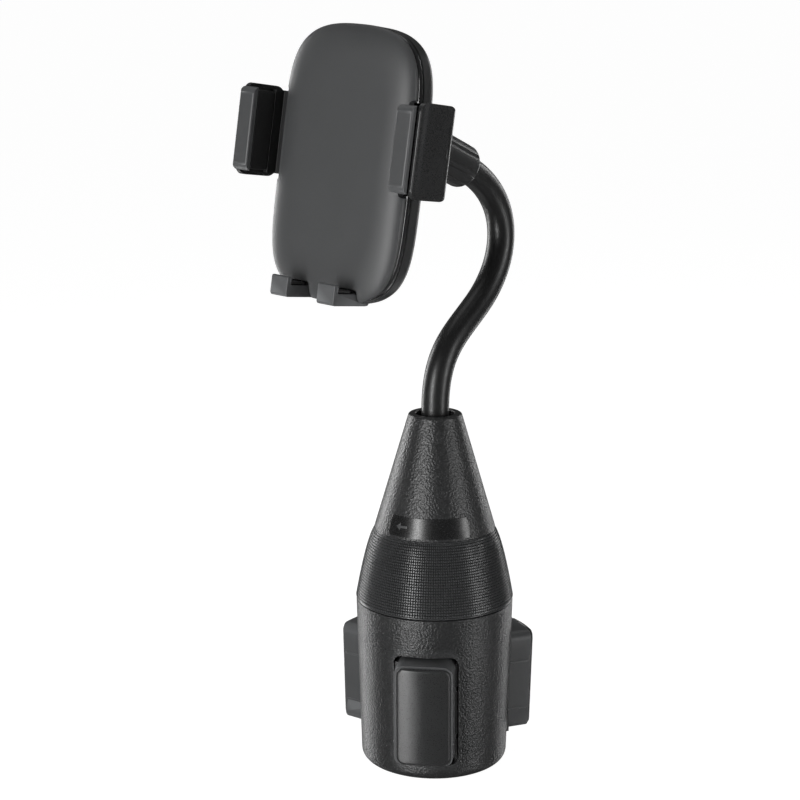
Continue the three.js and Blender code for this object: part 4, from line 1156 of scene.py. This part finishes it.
cover_layers = [(None, 11), (6, 11), (6, 10.1), (2.6, 10.1), (2.6, COVER_Y[0]),
                (0.3, COVER_Y[0]), (0, COVER_Y[0] + 0.3)]
cover_layers += [(EDGE_ROLL * (1 - math.cos(a)), COVER_Y[1] - EDGE_ROLL * (1 - math.sin(a)))
                 for a in [math.pi / 2 * i / 8 for i in range(9)]]
cover_layers += [(inset, COVER_Y[1]) for inset in (9, 16, 24)] + [(None, COVER_Y[1])]
cover = stacked("back_cover", oval, cover_layers)
join(cover, housing_block(0, (11.5, HOUSING_BACK), 2.2))
cut(cover, housing_block(2.3, (9, HOUSING_BACK - 2.4), 0.1))
join(cover, *[rod(3.8, (10.15, 12), at) for at in SCREWS], rod(3, (14.1, 17.5), (0, PINION_Z)),
     block("shelf", (-6, 6), (16, HOUSING_BACK - 2), (10.4, 12), 0.2, 0.1))
cut(cover, *wall_gates(2), block("gate", (-9, 9), (15, 26), (20, 30), 0.8, 0.1, "z"),
    rod(1.55, (10, 17), (0, PINION_Z)), *[rod(1.5, (9, 14), at) for at in SCREWS],
    *[rod(2.7, (11.5, 15), at) for at in SCREWS])
soften(cover, 0.4, 3, over=62)
hand_over(cover, "cradle", CRADLE, BLACK, "matte_black", "rear_shell")

# %% [markdown]
# ## Arms and jaws
# Each arm is a toothed bar inside the chassis with a jaw at its end. The bars lie above and below
# one pinion, so both jaws always open by the same amount.

# %% Toothed bar
RACK_PITCH = math.pi
RACK_REACH = 16
RACK_END = 31
RACK_BACK = -5.7
RACK_Y = (2.2, 6.6)
TEETH_EACH_WAY = 5
BACKLASH = 0.12
TOOTH_TOP = 0.8
TOOTH_ROOT = -1.05
TOOTH_FLANK = math.tan(math.radians(20))


def rack_bar(side):
    """The right arm's bar lies below the pinion and the left arm's above it."""
    toward = 1 if side > 0 else -1
    pitch_z = PINION_Z - toward * 6
    points = [(-RACK_REACH, RACK_BACK), (-RACK_REACH, TOOTH_ROOT)]
    for tooth in range(-TEETH_EACH_WAY, TEETH_EACH_WAY + 1):
        for sign, level in ((-1, TOOTH_ROOT), (-1, TOOTH_TOP), (1, TOOTH_TOP), (1, TOOTH_ROOT)):
            half = RACK_PITCH / 4 - BACKLASH - level * TOOTH_FLANK
            points.append((tooth * RACK_PITCH + sign * half, level))
    points += [(RACK_END, TOOTH_ROOT), (RACK_END, RACK_BACK)]
    return prism("rack", [(side * x, pitch_z + toward * z) for x, z in points], RACK_Y)


print("teeth on each bar:", 2 * TEETH_EACH_WAY + 1)

# %% [markdown]
# The jaw is drawn in plan, trimmed by a rounded side view and softly bevelled. Its satin front lip is
# then split from the arm behind it, whose black is darkened as painted shade. A rubber grip lines the
# jaw, and a cover wraps its outside.

# %% Arms, jaw pads and jaw covers
PAST_ALL = 90


def split_at(piece, depth):
    """Splits a piece in two at a depth; returns the part behind and the part in front."""
    front = bpy.data.objects.new(piece.name, piece.data.copy())
    scene.collection.objects.link(front)
    square = [(x * PAST_ALL, z * PAST_ALL) for x, z in ((-1, -1), (1, -1), (1, 1), (-1, 1))]
    slabs = [prism("slab", square, (-PAST_ALL, depth), "y") for _ in range(2)]
    return cut(piece, slabs[0]), common(front, slabs[1])


JAW_X = (37.1, 44.9)
JAW_FRONT = -18.2
LIP_DEEP = 2.7
COVER_WRAP_R = 200
COVER_FRONT = JAW_FRONT + 3.7
COVER_BACK = 10.6
ARM_Y = (0.7, 7.8)
for side, word in ((-1, "left"), (1, "right")):
    body = f"arm_{word}"
    plan = rounded([(side * x, y, r) for x, y, r in [
        (JAW_X[0], JAW_FRONT, 0.9), (JAW_X[1], JAW_FRONT, 0.9), (JAW_X[1], JAW_FRONT + 2.8, 0.3),
        (JAW_X[1] - 0.9, JAW_FRONT + 2.8, 0), (JAW_X[1] - 0.9, ARM_Y[1], 0.4), (29.5, ARM_Y[1], 0),
        (29.5, ARM_Y[0], 0), (JAW_X[0], ARM_Y[0], 0.2), (JAW_X[0], -4.6, 0.2),
        (JAW_X[0] + 1.9, -4.6, 0), (JAW_X[0] + 1.9, JAW_FRONT + 2.6, 0),
        (JAW_X[0], JAW_FRONT + 2.6, 0)]])
    jaw = prism("jaw", plan, (JAW_Z[0] - 1, JAW_Z[1] + 1), "z")
    side_view = card((ARM_Y[1] + 12 - JAW_FRONT) / 2, (JAW_Z[1] - JAW_Z[0]) / 2, 3.6, steps=8,
                     middle=((ARM_Y[1] + 12 + JAW_FRONT) / 2, PINION_Z))
    soften(common(jaw, prism("trim", side_view(), (-60, 60), "x")), 0.45, 3, over=48)
    jaw, lip = split_at(jaw, JAW_FRONT + LIP_DEEP)
    lip.name = f"jaw_{word}_lip"
    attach(dress(lip, CRADLE, JAW, "matte_black"), body)
    join(jaw, rack_bar(side))
    jaw.name = f"jaw_{word}_arm"
    hand_over(jaw, body, CRADLE, SHADOW_BLACK, "matte_black", f"arm_{word}")

    pad = block(f"jaw_{word}_grip", (side * JAW_X[0], side * (JAW_X[0] + 1.55)),
                (JAW_FRONT + 2.95, -4.95), (JAW_Z[0] + 1, JAW_Z[1] - 1), 1.2, 0.35, "x")
    hand_over(pad, body, CRADLE, RUBBER, "rubber", f"jaw_pad_{word}")

    inner = JAW_X[1] - 0.55
    wrap = rounded([(side * x, y, r) for x, y, r in [
        (inner, COVER_FRONT, 0.2), (inner + 1.9, COVER_FRONT, 0.6),
        (inner + 2.55, -4, COVER_WRAP_R), (inner + 2.2, 8.6, 3.0), (inner - 2, 10.5, 1.6),
        (inner - 4.4, 10.5, 0.6), (inner - 4.4, ARM_Y[1] + FIT_GAP, 0.2),
        (inner, ARM_Y[1] + FIT_GAP, 0)]])
    shell = prism("cover", wrap, (JAW_Z[0] - 3, JAW_Z[1] + 3), "z")
    low, high = JAW_Z[0] - 1.8, JAW_Z[1] + 1.6
    side_view = rounded([(COVER_FRONT, low, 4.4), (COVER_BACK, low, 6.5), (COVER_BACK, high, 6.5),
                         (COVER_FRONT, high, 4.4)], steps=8)
    soften(common(shell, prism("trim", side_view, (-60, 60), "x")), 0.5, 3, over=48)
    catch = block("catch", (side * (inner + 1.2), side * (inner + 2.5)), (5.2, 6.9),
                  (PINION_Z - 2.2, PINION_Z + 2.2), 0.7, 0.3, "x")
    join(shell, catch)
    shell.name = f"jaw_{word}_cover"
    hand_over(shell, body, CRADLE, COVER, "soft_touch", f"jaw_cover_{word}")

# %% [markdown]
# ## Hook tray and release button
# The tray slides down out of the cradle for tall phones; its two hooks carry the phone's weight.
# The release button sits in the housing's top. Ribs moulded across it tell the finger where it is.

# %% Hook tray, hook pads and button
HOOK_FRONT = -17.8
tray = block("foot_tray", (-TRAY_HALF, TRAY_HALF), (1.2, 5.6), (HOOK_LOW_Z, -22), 1.2, 0.3)
hooks = []
for side in (-1, 1):
    across = (side * (HOOK_X - HOOK_HALF), side * (HOOK_X + HOOK_HALF))
    profile = rounded([(HOOK_FRONT, HOOK_LOW_Z, 1.4), (4, HOOK_LOW_Z, 0.3),
                       (4, HOOK_LOW_Z + 5, 0.3), (HOOK_FRONT + 2.6, HOOK_LOW_Z + 5, 0.3),
                       (HOOK_FRONT + 2.6, HOOK_LOW_Z + 8.4, 0.9),
                       (HOOK_FRONT, HOOK_LOW_Z + 8.4, 0.9)])
    hooks.append(soften(prism("hook", profile, sorted(across), "x"), 0.6, 3, over=60))
join(tray, *hooks)
hand_over(tray, "tray", CRADLE, JAW, "matte_black", "hook_tray")
for side, word in ((-1, "left"), (1, "right")):
    across = (side * (HOOK_X - HOOK_HALF + 0.5), side * (HOOK_X + HOOK_HALF - 0.5))
    pad = block(f"hook_{word}_pad", across, (HOOK_FRONT + 2.95, -6.4),
                (HOOK_LOW_Z + 5.3, HOOK_LOW_Z + 6.3), 0.8, 0.3, "z")
    hand_over(pad, "tray", CRADLE, RUBBER, "rubber", f"hook_pad_{word}")
button = block("release_key", (-8.6, 8.6), (15.4, 25.6), (20, 27.6), 1.6, 0.7, "z")
join(button, block("shelf", (-16, 8.6), (13.8, 15.8), (20.6, 22.2), 0.2, 0.1, "x"),
     block("toe", (-16, -15), (10.9, 15.8), (19.45, 22.2), 0.1, 0.1, "z"))
ridges = [block("groove", (-6, 6), (y - 0.4, y + 0.4), (27.25, 29), 0.35, 0.1, "z")
          for y in (18, 20.5, 23)]
cut(button, *ridges)
hand_over(button, "button", CRADLE, FOOT, "grey_plastic", "release_button")

# %% [markdown]
# ## Screws and springs
# Seven screws and three coil springs repeat, so they come from node trees. The screw tree puts one
# drawn screw on each marked place and turns every copy by its own random angle, as real screws end up.

# %% Screw tree
screwing, add, given = geometry_tree("screws", {
    "Screw": ("NodeSocketObject", None), "Pointing": ("NodeSocketRotation", None),
    "Seed": ("NodeSocketInt", 4), "Finish": (MATERIAL, None)})
model = add("GeometryNodeObjectInfo", {"Object": given.outputs["Screw"]})
copies = add("GeometryNodeInstanceOnPoints", {
    "Points": given.outputs["Geometry"], "Instance": model.outputs["Geometry"],
    "Rotation": given.outputs["Pointing"]})
angle = add("FunctionNodeRandomValue", {2: 0.0, 3: 2 * math.pi, "Seed": given.outputs["Seed"]},
            data_type="FLOAT")
about = add("ShaderNodeCombineXYZ", {"Z": angle.outputs[1]})
driven = add("GeometryNodeRotateInstances", {"Instances": copies.outputs["Instances"],
                                             "Rotation": about.outputs[0], "Local Space": True})
close_tree(add, given, driven.outputs["Instances"])


def screw_set(name, places, pointing, head_r, head_deep, shank_r, length):
    """Screws whose driver faces lie at the given places and point back along their axis."""
    model = lathe("screw", rounded([(0, 0, 0), (head_r, 0, 0.35), (head_r, head_deep, 0.1),
                                    (shank_r, head_deep, 0.1), (shank_r, length - 1, 0.2),
                                    (0.2, length, 0), (0, length, 0)], closed=False), sides=40)
    arms = [((-1.3, 1.3), (-0.3, 0.3)), ((-0.3, 0.3), (-1.3, 1.3))]
    cut(model, *[block("cross", x, y, (-1, 0.7), 0.05, 0.02, "z") for x, y in arms])
    source = new_piece(name, places, [])
    values = {"Screw": model, "Pointing": pointing, "Seed": 4, "Finish": STEEL}
    made = run_tree(source, screwing, values, name)
    bpy.data.objects.remove(model)
    return made


base_screws = screw_set("base_screws", [(x, y, FLOOR_Z[0] + 0.1) for x, y in screw_places],
                        (0, 0, 0), 2.9, 1.2, 1.3, 10.4)
hand_over(base_screws, "base", BASE, STEEL, "steel", *[f"base_screw_{n}" for n in (1, 2, 3)])
cradle_screws = screw_set("cradle_screws", [(x, COVER_Y[1], z) for x, z in SCREWS],
                          (math.pi / 2, 0, 0), 2.3, 1.15, 1.05, 11.8)
hand_over(cradle_screws, "cradle", CRADLE, STEEL, "steel",
          *[f"cradle_screw_{n}" for n in (1, 2, 3, 4)])

# %% [markdown]
# The spring tree sweeps a wire along a spiral; its four numbers are what a catalogue gives.

# %% Spring tree
coiling, add, given = geometry_tree("coil spring", {
    "Coil radius": (FLOAT, 2.3), "Length": (FLOAT, 20.0), "Turns": (FLOAT, 7.0),
    "Wire radius": (FLOAT, 0.35), "Finish": (MATERIAL, None)})
spiral = add("GeometryNodeCurveSpiral", {
    "Resolution": 28, "Rotations": given.outputs["Turns"],
    "Start Radius": given.outputs["Coil radius"], "End Radius": given.outputs["Coil radius"],
    "Height": given.outputs["Length"]})
wire = add("GeometryNodeCurvePrimitiveCircle", {"Resolution": 10,
                                                "Radius": given.outputs["Wire radius"]})
coil = add("GeometryNodeCurveToMesh", {"Curve": spiral.outputs["Curve"],
                                       "Profile Curve": wire.outputs["Curve"],
                                       "Fill Caps": True})
close_tree(add, given, coil.outputs["Mesh"])
WIRE_R = 0.35


def spring(name, place, radius, length, turns, node):
    source = new_piece(name, [(0, 0, 0)], [])
    values = {"Coil radius": radius, "Length": length - 2 * WIRE_R, "Turns": float(turns),
              "Wire radius": WIRE_R, "Finish": STEEL}
    piece = face_outward(run_tree(source, coiling, values, name))
    dress(piece, place @ Matrix.Translation((0, 0, WIRE_R)), STEEL, "steel", node, sharp=80)
    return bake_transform(piece)


for side, word in ((-1, "left"), (1, "right")):
    place = CRADLE @ Matrix.Translation((side * 9.35, 5.2, PINION_Z)) @ turn_about("Y", side * 90)
    spring(f"jaw_{word}_spring", place, 2.3, 19.8, 7,
           f"arm_spring_{word}")
spring("release_spring", CRADLE @ Matrix.Translation((0, 20.5, 12.4)), 2.6, 7.2, 5,
       "button_spring")

# %% [markdown]
# ## Pieces kept from the CAD
# The scroll plate, the guide frame, the pinion and the lock are seen only when the mount is taken
# apart. Their CAD shapes are already exact, so they stay, and only get a finish of their own.

# %% Finish the kept CAD pieces
kept_finish = {"scroll_plate": ACETAL, "guide_frame": BLACK, "pinion": ACETAL,
               "ratchet_wheel": ACETAL, "lock_pawl": STEEL, "pinion_pin": STEEL}
for node, material in kept_finish.items():
    for material_slot in frame["nodes"][node].material_slots:
        material_slot.material = material
shown = sorted(name for name, node in frame["nodes"].items() if not node.hide_render)
print("kept CAD pieces:", shown)

# %% [markdown]
# ## Floor, light and camera
# The camera sees a plain pale floor. Every other ray meets a slightly glossy dim table instead, and
# its shine puts bands of light on the upright wall of the cup.

# %% Floor
FLOOR_R = 25
FLOOR_SIDES = 96
FLOOR_DROP = 0.0004
SEEN_GLOW = 0.97
TABLE_SHINE = 0.7
TABLE_TONE = 0.2
floor_verts = [(FLOOR_R * math.cos(a), FLOOR_R * math.sin(a), -FLOOR_DROP)
               for a in [2 * math.pi * i / FLOOR_SIDES for i in range(FLOOR_SIDES)]]
floor = new_piece("floor", floor_verts, [list(range(FLOOR_SIDES))])
paper = bpy.data.materials.new("pale paper")
paper.use_nodes = True
paper.node_tree.nodes.clear()
add = maker(paper.node_tree)
seen = add("ShaderNodeLightPath").outputs["Is Camera Ray"]
glow = add("ShaderNodeEmission", {"Color": (1, 1, 1, 1), "Strength": SEEN_GLOW})
matt = add("ShaderNodeBsdfDiffuse", {"Color": (TABLE_TONE, TABLE_TONE, TABLE_TONE, 1)})
lit = add("ShaderNodeAddShader", {0: glow.outputs[0], 1: matt.outputs[0]})
sheen = add("ShaderNodeBsdfAnisotropic", {
    "Color": (TABLE_SHINE, TABLE_SHINE, TABLE_SHINE, 1), "Roughness": 0.25})
table = add("ShaderNodeAddShader", {0: sheen.outputs[0], 1: matt.outputs[0]})
pale = add("ShaderNodeMixShader", {0: seen, 1: table.outputs[0], 2: lit.outputs[0]})
add("ShaderNodeOutputMaterial", {"Surface": pale.outputs[0]})
floor.data.materials.append(paper)
floor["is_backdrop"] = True
print("floor ready")

# %% [markdown]
# A long lens, from the right of straight ahead and a little above, keeps the tall mount's sides
# nearly parallel.

# %% Camera
CAMERA_AT = Vector((0.5154, -0.6965, 0.3620))
CAMERA_AIM = Vector((0.0, -0.0257, 0.1722))
camera_data = bpy.data.cameras.new("camera")
camera_data.lens, camera_data.sensor_width = 90, 36
camera_data.clip_start, camera_data.clip_end = 0.05, 20
camera = bpy.data.objects.new("camera", camera_data)
camera.location = CAMERA_AT
camera.rotation_euler = (CAMERA_AIM - CAMERA_AT).to_track_quat("-Z", "Y").to_euler()
scene.collection.objects.link(camera)
scene.camera = camera
print("camera distance:", round((CAMERA_AIM - CAMERA_AT).length, 3), "m")

# %% [markdown]
# The light is a studio's. Two tall softboxes behind the mount draw the long highlights down the cup
# and the neck, a strong one in front on the left and a weaker one on the right fill the panel, and
# one overhead lights the edges that face up.

# %% Light
MIDDLE = Vector((0, 0, 0.19))
DIM_STUDIO = 0.07
toward_camera = math.atan2(CAMERA_AT.y, CAMERA_AT.x)


def softbox(name, to_right, distance, height, width, tall, power):
    """An area light at an angle round the mount, measured from the camera to its right."""
    turn = toward_camera + math.radians(to_right)
    light = bpy.data.lights.new(name, "AREA")
    light.shape, light.size, light.size_y, light.energy = "RECTANGLE", width, tall, power
    box = bpy.data.objects.new(name, light)
    box.location = (distance * math.cos(turn), distance * math.sin(turn), height)
    box.rotation_euler = (MIDDLE - box.location).to_track_quat("-Z", "Y").to_euler()
    box.visible_camera = False
    scene.collection.objects.link(box)


softbox("left back box", -128, 1.0, 0.30, 0.30, 0.6, 4.6)
softbox("left front box", -34, 1.1, 0.32, 0.30, 0.6, 8)
softbox("right front box", 64, 1.1, 0.30, 0.24, 0.6, 3.4)
softbox("right back box", 140, 1.0, 0.30, 0.20, 0.6, 1.7)
softbox("overhead box", 180, 0.35, 1.3, 0.9, 0.9, 2.2)

world = bpy.data.worlds.new("studio")
world.use_nodes = True
scene.world = world
add = maker(world.node_tree)
world.node_tree.nodes.clear()
seen = add("ShaderNodeLightPath").outputs["Is Camera Ray"]
strength = add("ShaderNodeMapRange", {"Value": seen, "To Min": DIM_STUDIO, "To Max": 1.0})
sky = add("ShaderNodeBackground", {"Color": (1, 1, 1, 1), "Strength": strength.outputs["Result"]})
add("ShaderNodeOutputWorld", {"Surface": sky.outputs["Background"]})
scene.view_settings.view_transform = "Standard"
scene.view_settings.look = "None"

# %% Compare the size with the CAD box
made_box = [list(corner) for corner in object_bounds()]
growth = [round((made_box[k][i] - cad_box[k][i]) / MM, 2) for k in (0, 1) for i in range(3)]
print("box grown by, in mm:", growth)
